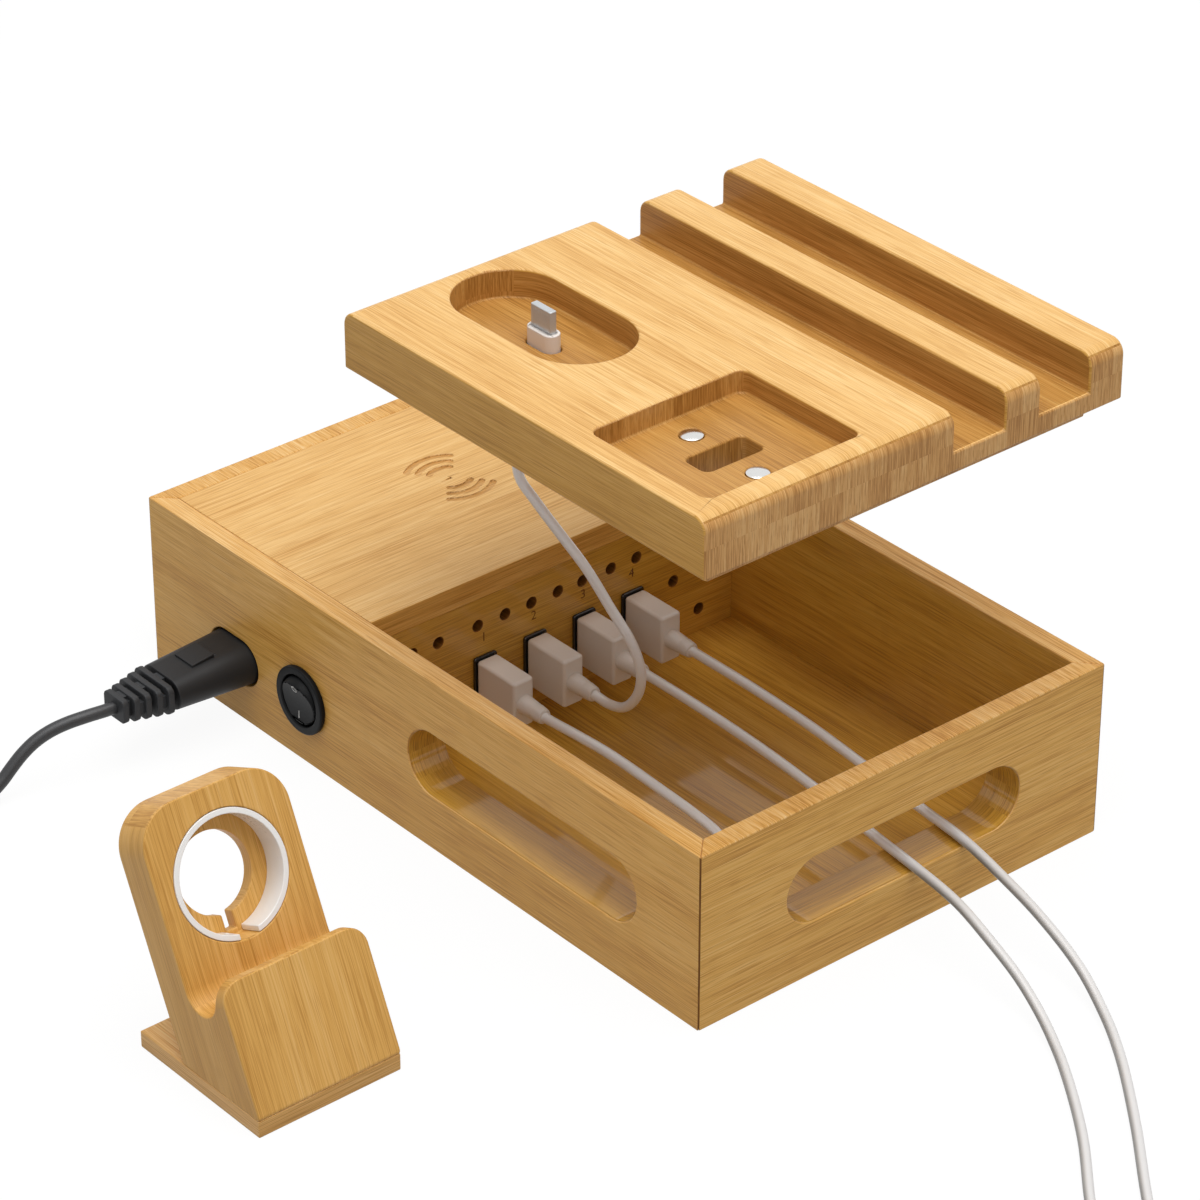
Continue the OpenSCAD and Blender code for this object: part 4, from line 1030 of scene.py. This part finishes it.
makeMoulding("powerPlug", "power_plug", "power_lead", blackMatt, "black_plastic", width=0.35,
             choose=outsideWall, more=addPad)
relief = {
    "ribs": 5, "ribShare": 0.6, "endShare": 0.58, "endHeightShare": 0.8, "corner": 2.4, "cornerSteps": 5,
    "coreWidth": 7.5, "coreHeight": 5.4, "coreTail": 0.5, "bridge": 4.2, "bridgeLap": 0.2,
    "sideInset": 0.6, "topInset": 0.5, "ease": 0.35,
}


def reliefTree(count, length, width, height):
    pitch = length / count
    tree = GrowTree("reliefRibs", {
        "Ribs": count, "Pitch": pitch, "Rib length": pitch * relief["ribShare"], "Width": width,
        "Height": height, "Corner": relief["corner"] * mm, "End width share": relief["endShare"],
        "End height share": relief["endHeightShare"],
    })
    add, have = tree.add, tree.have
    share = add("InputIndex") / (have["Ribs"] - 1)
    back = tree.recipe.vector(0, have["Pitch"] * -1, 0)
    points = add("MeshLine", {"Count": have["Ribs"], "Offset": back}, mode="OFFSET")
    outline = add("CurvePrimitiveQuadrilateral", {"Width": have["Width"], "Height": have["Height"]})
    outline = add("FilletCurve", {"Curve": outline, "Radius": have["Corner"],
                                  "Count": relief["cornerSteps"]}, mode="POLY")
    plate = add("FillCurve", {"Curve": outline}, mode="NGONS")
    raised = add("ExtrudeMesh", {"Mesh": plate, "Offset Scale": have["Rib length"], "Individual": False})
    turned = add("FlipFaces", {"Mesh": plate})
    joined = add("JoinGeometry", {"Geometry": raised})
    tree.alsoLink(turned, joined, 0)
    rib = add("MergeByDistance", {"Geometry": joined})
    size = tree.recipe.vector(1 - share * (1 - have["End width share"]),
                              1 - share * (1 - have["End height share"]), 1)
    placed = add("InstanceOnPoints", {"Points": points, "Instance": rib, "Scale": size,
                                      "Rotation": (math.radians(-90), 0, 0)})
    tree.end(placed, blackRelief)
    return tree


def makeRelief():
    low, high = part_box("power_strain_relief")
    width, length, height = high - low
    middle = middleOf("power_strain_relief")
    middle.y = high.y
    pitch = length / relief["ribs"]
    builder = bmesh.new()
    builder.from_mesh(reliefTree(relief["ribs"], length, width, height).grow("reliefRibs"))
    ribLow = min(vert.co.y for vert in builder.verts)
    bmesh.ops.translate(builder, vec=middle + Vector((0, -length - ribLow, 0)), verts=builder.verts)
    easeEdges(builder, relief["ease"])
    core = Vector((relief["coreWidth"] / 2, 0, relief["coreHeight"] / 2)) * mm
    addBlock(builder, middle - core - Vector((0, length - relief["coreTail"] * mm, 0)), middle + core)
    bridge = relief["bridge"] / 2 * mm
    for i in range(relief["ribs"]):
        share = (i + 0.5) / relief["ribs"]
        half = width / 2 * (1 - share * (1 - relief["endShare"])) - relief["sideInset"] * mm
        tall = height / 2 * (1 - share * (1 - relief["endHeightShare"])) - relief["topInset"] * mm
        near = middle.y - i * pitch
        far = near - pitch * (1 + relief["bridgeLap"] - relief["ribShare"])
        sides = [(bridge - half, bridge), (half - bridge, bridge)]
        for aside, up in sides if i % 2 else [(0, tall)]:
            addBlock(builder, Vector((middle.x + aside - bridge, far, middle.z - up)),
                     Vector((middle.x + aside + bridge, near, middle.z + up)))
    mesh = settleMesh("powerRelief", builder, [blackRelief])
    newPiece("powerRelief", mesh, "power_lead", "black_plastic", "power_strain_relief")


makeRelief()
makeMoulding("wallPlug", "wall_plug", "power_lead", blackMatt, "black_plastic", width=0.8, steps=3)
makeMoulding("inletSocket", "inlet_socket", "base", blackMatt, "black_plastic", width=0.3, clamp=True)
say("power plug")

# The switch: an eased bezel, a dished rocker and its two marks
makeMoulding("switchHousing", "switch_housing", "base", blackSatin, "black_plastic", width=0.6, steps=3)
rocker = makeMoulding("rocker", "switch_rocker", "rocker", blackSatin, "black_gloss", width=0.35)
switchMarks = {"offset": 4.9, "bar": 2.6, "barSteps": 6, "ring": 1.05, "wire": 0.34, "sink": 0.08,
               "sides": 8, "turns": 20, "before": 30}


def makeSwitchMarks():
    face = bmesh.new()
    face.from_mesh(rocker.data)
    tree = BVHTree.FromBMesh(face)
    face.free()
    middle, m = middleOf("switch_rocker"), switchMarks

    def drop(x, z):
        # the place on the rocker's face, a little within it
        start = Vector((middle.x + x * mm, corner.y - m["before"] * mm, middle.z + z * mm))
        return tree.ray_cast(start, Vector((0, 1, 0)))[0] + Vector((0, m["sink"] * mm, 0))

    steps = m["barSteps"]
    bar = [drop(0, m["bar"] * (k / steps - 0.5) - m["offset"]) for k in range(steps + 1)]
    ring = [drop(m["ring"] * math.cos(a), m["offset"] + m["ring"] * math.sin(a))
            for a in (2 * math.pi * k / m["turns"] for k in range(m["turns"] + 1))]
    for name, line in (("markOn", bar), ("markOff", ring)):
        mesh = sweepTube(name, line, m["wire"] * mm, m["sides"], (0, 1, 0))
        mesh.materials.append(markWhite)
        newPiece(name, mesh, "rocker", "white_plastic")


makeSwitchMarks()
say("switch")

# The lid's connector, clip and magnets, the ring and the leads' far connectors
dockShare = 0.8  # of the CAD height that shows above the recess's floor
rimSpare = 0.4  # mm
tabLow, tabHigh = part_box("dock_tab")
tabMiddle, tabHalf = middleOf("dock_tab"), (tabHigh - tabLow) / 2
contacts = {"count": 8, "width": 0.5, "gap": 0.85, "length": 3.6, "below": 1.3, "proud": 0.06}


def outerRim(edge):
    return all(any(abs(vert.co[i] - tabMiddle[i]) > tabHalf[i] + rimSpare * mm for i in (0, 1))
               for vert in edge.verts)


def shorten(builder):
    for vert in builder.verts:
        if vert.co.z > tabLow.z:
            vert.co.z = tabLow.z + (vert.co.z - tabLow.z) * dockShare


def addContacts(builder):
    shorten(builder)
    top = tabLow.z + (tabHigh.z - tabLow.z) * dockShare - contacts["below"] * mm
    half = Vector((contacts["width"] / 2 * mm, tabHalf.y + contacts["proud"] * mm, 0))
    for k in range(contacts["count"]):
        near = tabMiddle.x + (k - (contacts["count"] - 1) / 2) * contacts["gap"] * mm
        addBlock(builder, Vector((near, tabMiddle.y, top - contacts["length"] * mm)) - half,
                 Vector((near, tabMiddle.y, top)) + half)


makeMoulding("dockPlug", "dock_connector", "lid", pearlPlastic, "pearl_plastic", width=0.5, steps=3,
             choose=outerRim, more=shorten)
makeMoulding("dockClip", "dock_clip", "lid", pearlPlastic, "pearl_plastic", width=0.4)
makeMoulding("dockTab", "dock_tab", "lid", plated, "steel", width=0.45, steps=3, more=addContacts)
makeMoulding("magnets", "lid_magnets", "lid", brightMetal, "steel", width=0.12)
makeMoulding("standRing", "stand_ring", "watch_stand", whitePlastic, "white_plastic", width=0.3)
for number in (1, 3, 4):
    name, node = f"leadEnd{number}", f"lead_{number}_connector"
    makeMoulding(name, node, plugBodies[number], pearlPlastic, "pearl_plastic", width=0.45)
say("lid fittings")


# Ties that hold each put-away coil: a flat band round all its turns
tieBand = {"width": 5, "thick": 0.5, "spare": 0.25, "corner": 2.2, "arc": 6, "rest": 0.02}


def bandOutline(half, low, high, radius, steps):
    # a rounded oblong, as (across, up) in mm, from its middle
    points = []
    for cx, cz, start in ((half - radius, high - radius, 0), (-half + radius, high - radius, 90),
                          (-half + radius, low + radius, 180), (half - radius, low + radius, 270)):
        for k in range(steps + 1):
            angle = math.radians(start + 90 * k / steps)
            points.append((cx + radius * math.cos(angle), cz + radius * math.sin(angle)))
    return points


def makeTie(name, body, coil, look, slot, angle):
    reach = coil["step"] * coil["loops"] / 4 + coil["diameter"] / 2 + tieBand["spare"]
    thick, wide, bend, arc = (tieBand[key] for key in ("thick", "width", "corner", "arc"))
    top = coilLift + coil["diameter"] + coil["step"] + tieBand["spare"] + thick
    turn = math.radians(angle)
    out, side = Vector((math.cos(turn), math.sin(turn), 0)), Vector((-math.sin(turn), math.cos(turn), 0))
    centre = at(*coil["centre"], 0) + out * (coil["radius"] + coil["step"] * coil["loops"] / 4) * mm
    outside = bandOutline(reach + thick, tieBand["rest"], top, bend, arc)
    inside = bandOutline(reach, coilLift, top - thick, bend - thick, arc)
    builder = bmesh.new()
    rings = [[builder.verts.new(centre + (out * across + side * shift + Vector((0, 0, up))) * mm)
              for across, up in points]
             for points, shift in ((outside, -wide / 2), (outside, wide / 2), (inside, wide / 2),
                                   (inside, -wide / 2))]
    addSkin(builder, rings + rings[:1], capped=False)
    mesh = meshFrom(name, builder)
    mesh.materials.append(look)
    smoothMesh(mesh)
    newPiece(name, mesh, body, slot)


makeTie("powerTie", "power_lead", powerCoil, tieBlack, "black_cord", angle=150)
makeTie("lead3Tie", "lead_3", lead3Coil, tieWhite, "pearl_cord", angle=250)
makeTie("lead4Tie", "lead_4", lead4Coil, tieWhite, "pearl_cord", angle=60)
say("ties")

# The charging coil: one flat spiral of wire, and the board's screws
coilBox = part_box("charging_coil")
winding = {"turns": 14, "bore": 10.5, "sides": 8, "rings": 40, "edge": 0.6, "wire": 0.58}


def windingTree():
    outer = (coilBox[1].x - coilBox[0].x) / 2
    height = (coilBox[1].z - coilBox[0].z) / 2
    tree = GrowTree("chargingCoil", {
        "Turns": float(winding["turns"]), "Inner radius": winding["bore"] * mm,
        "Outer radius": outer - height * winding["edge"], "Wire radius": height * winding["wire"],
        "Steps": winding["rings"],
    })
    add, have = tree.add, tree.have
    spiral = add("CurveSpiral", {
        "Resolution": have["Steps"], "Rotations": have["Turns"], "Start Radius": have["Inner radius"],
        "End Radius": have["Outer radius"], "Height": 0.0})
    section = add("CurvePrimitiveCircle", {"Resolution": winding["sides"], "Radius": have["Wire radius"]})
    wireMesh = add("CurveToMesh", {"Curve": spiral, "Profile Curve": section, "Fill Caps": True})
    tree.end(wireMesh, coilWire)
    return tree


growPiece(windingTree(), "chargingCoil", coilWire, "copper", "charging_coil", middleOf("charging_coil"))

boardScrew = {"head": 2.5, "headHeight": 1.8, "shank": 1.3, "length": 5, "cross": 0.45, "crossReach": 1.5,
              "crossDepth": 0.9, "sides": 20}
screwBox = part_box("board_screws")


def screwTree():
    head = boardScrew["head"] * mm
    low, high = screwBox
    tree = GrowTree("boardScrews", {
        "Head radius": head, "Head height": boardScrew["headHeight"] * mm,
        "Shank radius": boardScrew["shank"] * mm, "Shank length": boardScrew["length"] * mm,
        "Gap in x": high.x - low.x - 2 * head, "Gap in y": high.y - low.y - 2 * head,
        "Slot width": boardScrew["cross"] * 2 * mm, "Slot reach": boardScrew["crossReach"] * 2 * mm,
        "Slot depth": boardScrew["crossDepth"] * mm,
    })
    add, have, vector = tree.add, tree.have, tree.recipe.vector

    def raised(kind, height, sockets):
        shape = add(kind, sockets)
        return add("Transform", {"Geometry": shape, "Translation": vector(0, 0, height)})

    def rod(part, side):
        length = have[part[1]]
        return raised("MeshCylinder", length * (side / 2), {
            "Vertices": boardScrew["sides"], "Radius": have[part[0]], "Depth": length})

    headUp = rod(("Head radius", "Head height"), 1)
    shankDown = rod(("Shank radius", "Shank length"), -1)
    cut = add("MeshBoolean", {"Mesh 1": headUp}, operation="DIFFERENCE", solver="EXACT")
    wide, long = have["Slot width"], have["Slot reach"]
    for sizes in ((long, wide), (wide, long)):
        bar = raised("MeshCube", have["Head height"], {"Size": vector(*sizes, have["Slot depth"])})
        tree.alsoLink(bar, cut, "Mesh 2")
    joined = add("JoinGeometry", {"Geometry": shankDown})
    tree.alsoLink(cut, joined, 0)
    grid = add("MeshGrid", {
        "Size X": have["Gap in x"], "Size Y": have["Gap in y"], "Vertices X": 2, "Vertices Y": 2})
    placed = add("InstanceOnPoints", {"Points": grid, "Instance": joined})
    tree.end(placed, tinPlate)
    return tree


screwPlace = middleOf("board_screws")
screwPlace.z = screwBox[1].z - boardScrew["headHeight"] * mm
growPiece(screwTree(), "boardScrews", tinPlate, "steel", "board_screws", screwPlace)
say("coil and screws")

# Marks cut into the wood: a plain wireless sign on the deck, numbers over the ports
sign = {"middle": (51.6, 80.6), "radii": (6.7, 10.4, 14.1), "stroke": 2.3, "half": 39, "depth": 0.55,
        "over": 1, "steps": 14, "endSteps": 6,
        "bolt": [(4.6, -0.5), (-0.5, -0.95), (-0.1, 0.1), (-4.6, 0.5), (0.5, 0.95), (0.1, -0.1)]}
digits = {"size": 4.6, "depth": 0.35, "above": 13.6}
cutLook = bambooLook("bambooCut", 1, 0, 2, dark="a2733a", middle="cd9a58", light="dfb477", shift=11)


def strokeOutline(radius, turn):
    # an arc with round ends, facing one side of the sign
    half, width = math.radians(sign["half"]), sign["stroke"] / 2
    points = []
    for rim, order in ((radius + width, 1), (radius - width, -1)):
        for k in range(sign["steps"] + 1):
            angle = turn + order * half * (2 * k / sign["steps"] - 1)
            points.append((rim * math.cos(angle), rim * math.sin(angle)))
        end = turn + order * half
        cx, cy = radius * math.cos(end), radius * math.sin(end)
        for k in range(1, sign["endSteps"]):
            angle = end + math.pi * (k / sign["endSteps"] + (order < 0))
            points.append((cx + width * math.cos(angle), cy + width * math.sin(angle)))
    return points


def onDeck(point, height):
    return at(sign["middle"][0] + point[0], sign["middle"][1] + point[1], boxSize.z + height)


signCutter = bmesh.new()
for turn in (0, math.pi):
    for radius in sign["radii"]:
        prism(signCutter, strokeOutline(radius, turn), -sign["depth"], sign["over"], onDeck)
prism(signCutter, [(y, x) for x, y in sign["bolt"]], -sign["depth"], sign["over"], onDeck)
engrave(boards["deck"], signCutter, cutLook)


def engraveDigit(number):
    # a digit on the panel's face above its port, read from the cable bay
    curve = bpy.data.curves.new("digit", "FONT")
    curve.body = str(number)
    curve.size = digits["size"] * mm
    curve.extrude = digits["depth"] * mm
    curve.align_x = "CENTER"
    mesh = realised(link("digit", curve), "digit")
    place = middleOf(f"port_plug_{number}") + Vector((0, 0, digits["above"] * mm))
    place.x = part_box("port_panel")[1].x
    turn = Matrix(((0, 0, 1), (1, 0, 0), (0, 1, 0))).to_4x4()
    mesh.transform(Matrix.Translation(place) @ turn)
    builder = bmesh.new()
    builder.from_mesh(mesh)
    weld(builder)
    engrave(boards["portPanel"], builder, edgeWood)


for number in plugBodies:
    engraveDigit(number)
say("cut marks")

# Looks of the CAD solids that show as they are
nodeLooks = {
    tinPlate: ["port_sockets", "switch_terminals", "inlet_pins", "wall_plug_blades"],
    nickel: [f"plug_shell_{number}" for number in plugBodies],
    greenBoard: ["power_board", "port_board", "coil_board"],
    copperWire: ["transformer"], ferrite: ["coil_shield"], capSleeve: ["capacitors"],
    wireSleeve: ["mains_wires"], coilWire: ["coil_wires"], pearlPlastic: ["board_posts"],
    bambooLook("bambooBatten", 1, 0, 2, shift=29): ["deck_battens"],
}
for look, nodes in nodeLooks.items():
    for node in nodes:
        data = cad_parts[node].data
        data.materials.clear()
        data.materials.append(look)
say("CAD looks")

# The dock lead gets a mesh of its own, since it shortens as the lid comes down; each cord's length is
# printed
for cord, piece, line in cords:
    if cord is dockCord:
        dockFoot = at(*cord["start"])
        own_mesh(piece)
    length = sum((b - a).length for a, b in zip(line, line[1:]))
    print("scene:", cord["name"], round(length, 3), "m")
    at(*cord["start"])
    list(cord["mates"])
    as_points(line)

# Floor, world and lamps
studio = {
    "floor": 8.0, "worldLight": 0.42, "seen": 0.8, "white": 1.16, "paper": 0.4,
    "key": {"place": (0.3, -0.1, 1.8), "size": 1.8, "power": 28.5},
    "fill": {"place": (1.5, -1.0, 1.0), "size": 1.2, "power": 1.5},
}


def seenShare(mix):
    # 1 on a ray from the camera, a mirror or glass
    paths = mix.add("LightPath").socket.node
    kinds = ("Is Camera Ray", "Is Glossy Ray", "Is Transmission Ray")
    return sum(Wire(mix, paths.outputs[kind]) for kind in kinds)


def makeStudio():
    side = studio["floor"] / 2
    mesh = bpy.data.meshes.new("floor")
    mesh.from_pydata([(-side, -side, 0), (side, -side, 0), (side, side, 0), (-side, side, 0)], [],
                     [(0, 1, 2, 3)])
    mix = newLook("floorPaper")
    paper = mix.add("BsdfDiffuse", {"Color": (studio["paper"],) * 3 + (1,)})
    white = mix.add("Emission", {"Color": (1, 1, 1, 1), "Strength": studio["white"]})
    shown = mix.add("MixShader", {0: seenShare(mix) * studio["seen"], 1: paper, 2: white})
    mix.add("OutputMaterial", {"Surface": shown})
    mesh.materials.append(mix.material)
    link("floor", mesh)

    world = bpy.data.worlds.new("studio")
    bpy.context.scene.world = world
    world.use_nodes = True
    sky = Recipe(world.node_tree)
    strength = seenShare(sky) * (1 - studio["worldLight"]) + studio["worldLight"]
    back = sky.add("Background", {"Color": (1, 1, 1, 1), "Strength": strength})
    sky.add("OutputWorld", {"Surface": back})

    for name in ("key", "fill"):
        lamp = studio[name]
        data = bpy.data.lights.new(name + "Lamp", "AREA")
        data.shape = "DISK"
        data.size = lamp["size"]
        data.energy = lamp["power"]
        place = Vector(lamp["place"])
        aimAt(link(name + "Lamp", data), place, (lowBox + highBox) / 2 - place)


makeStudio()
say("studio")
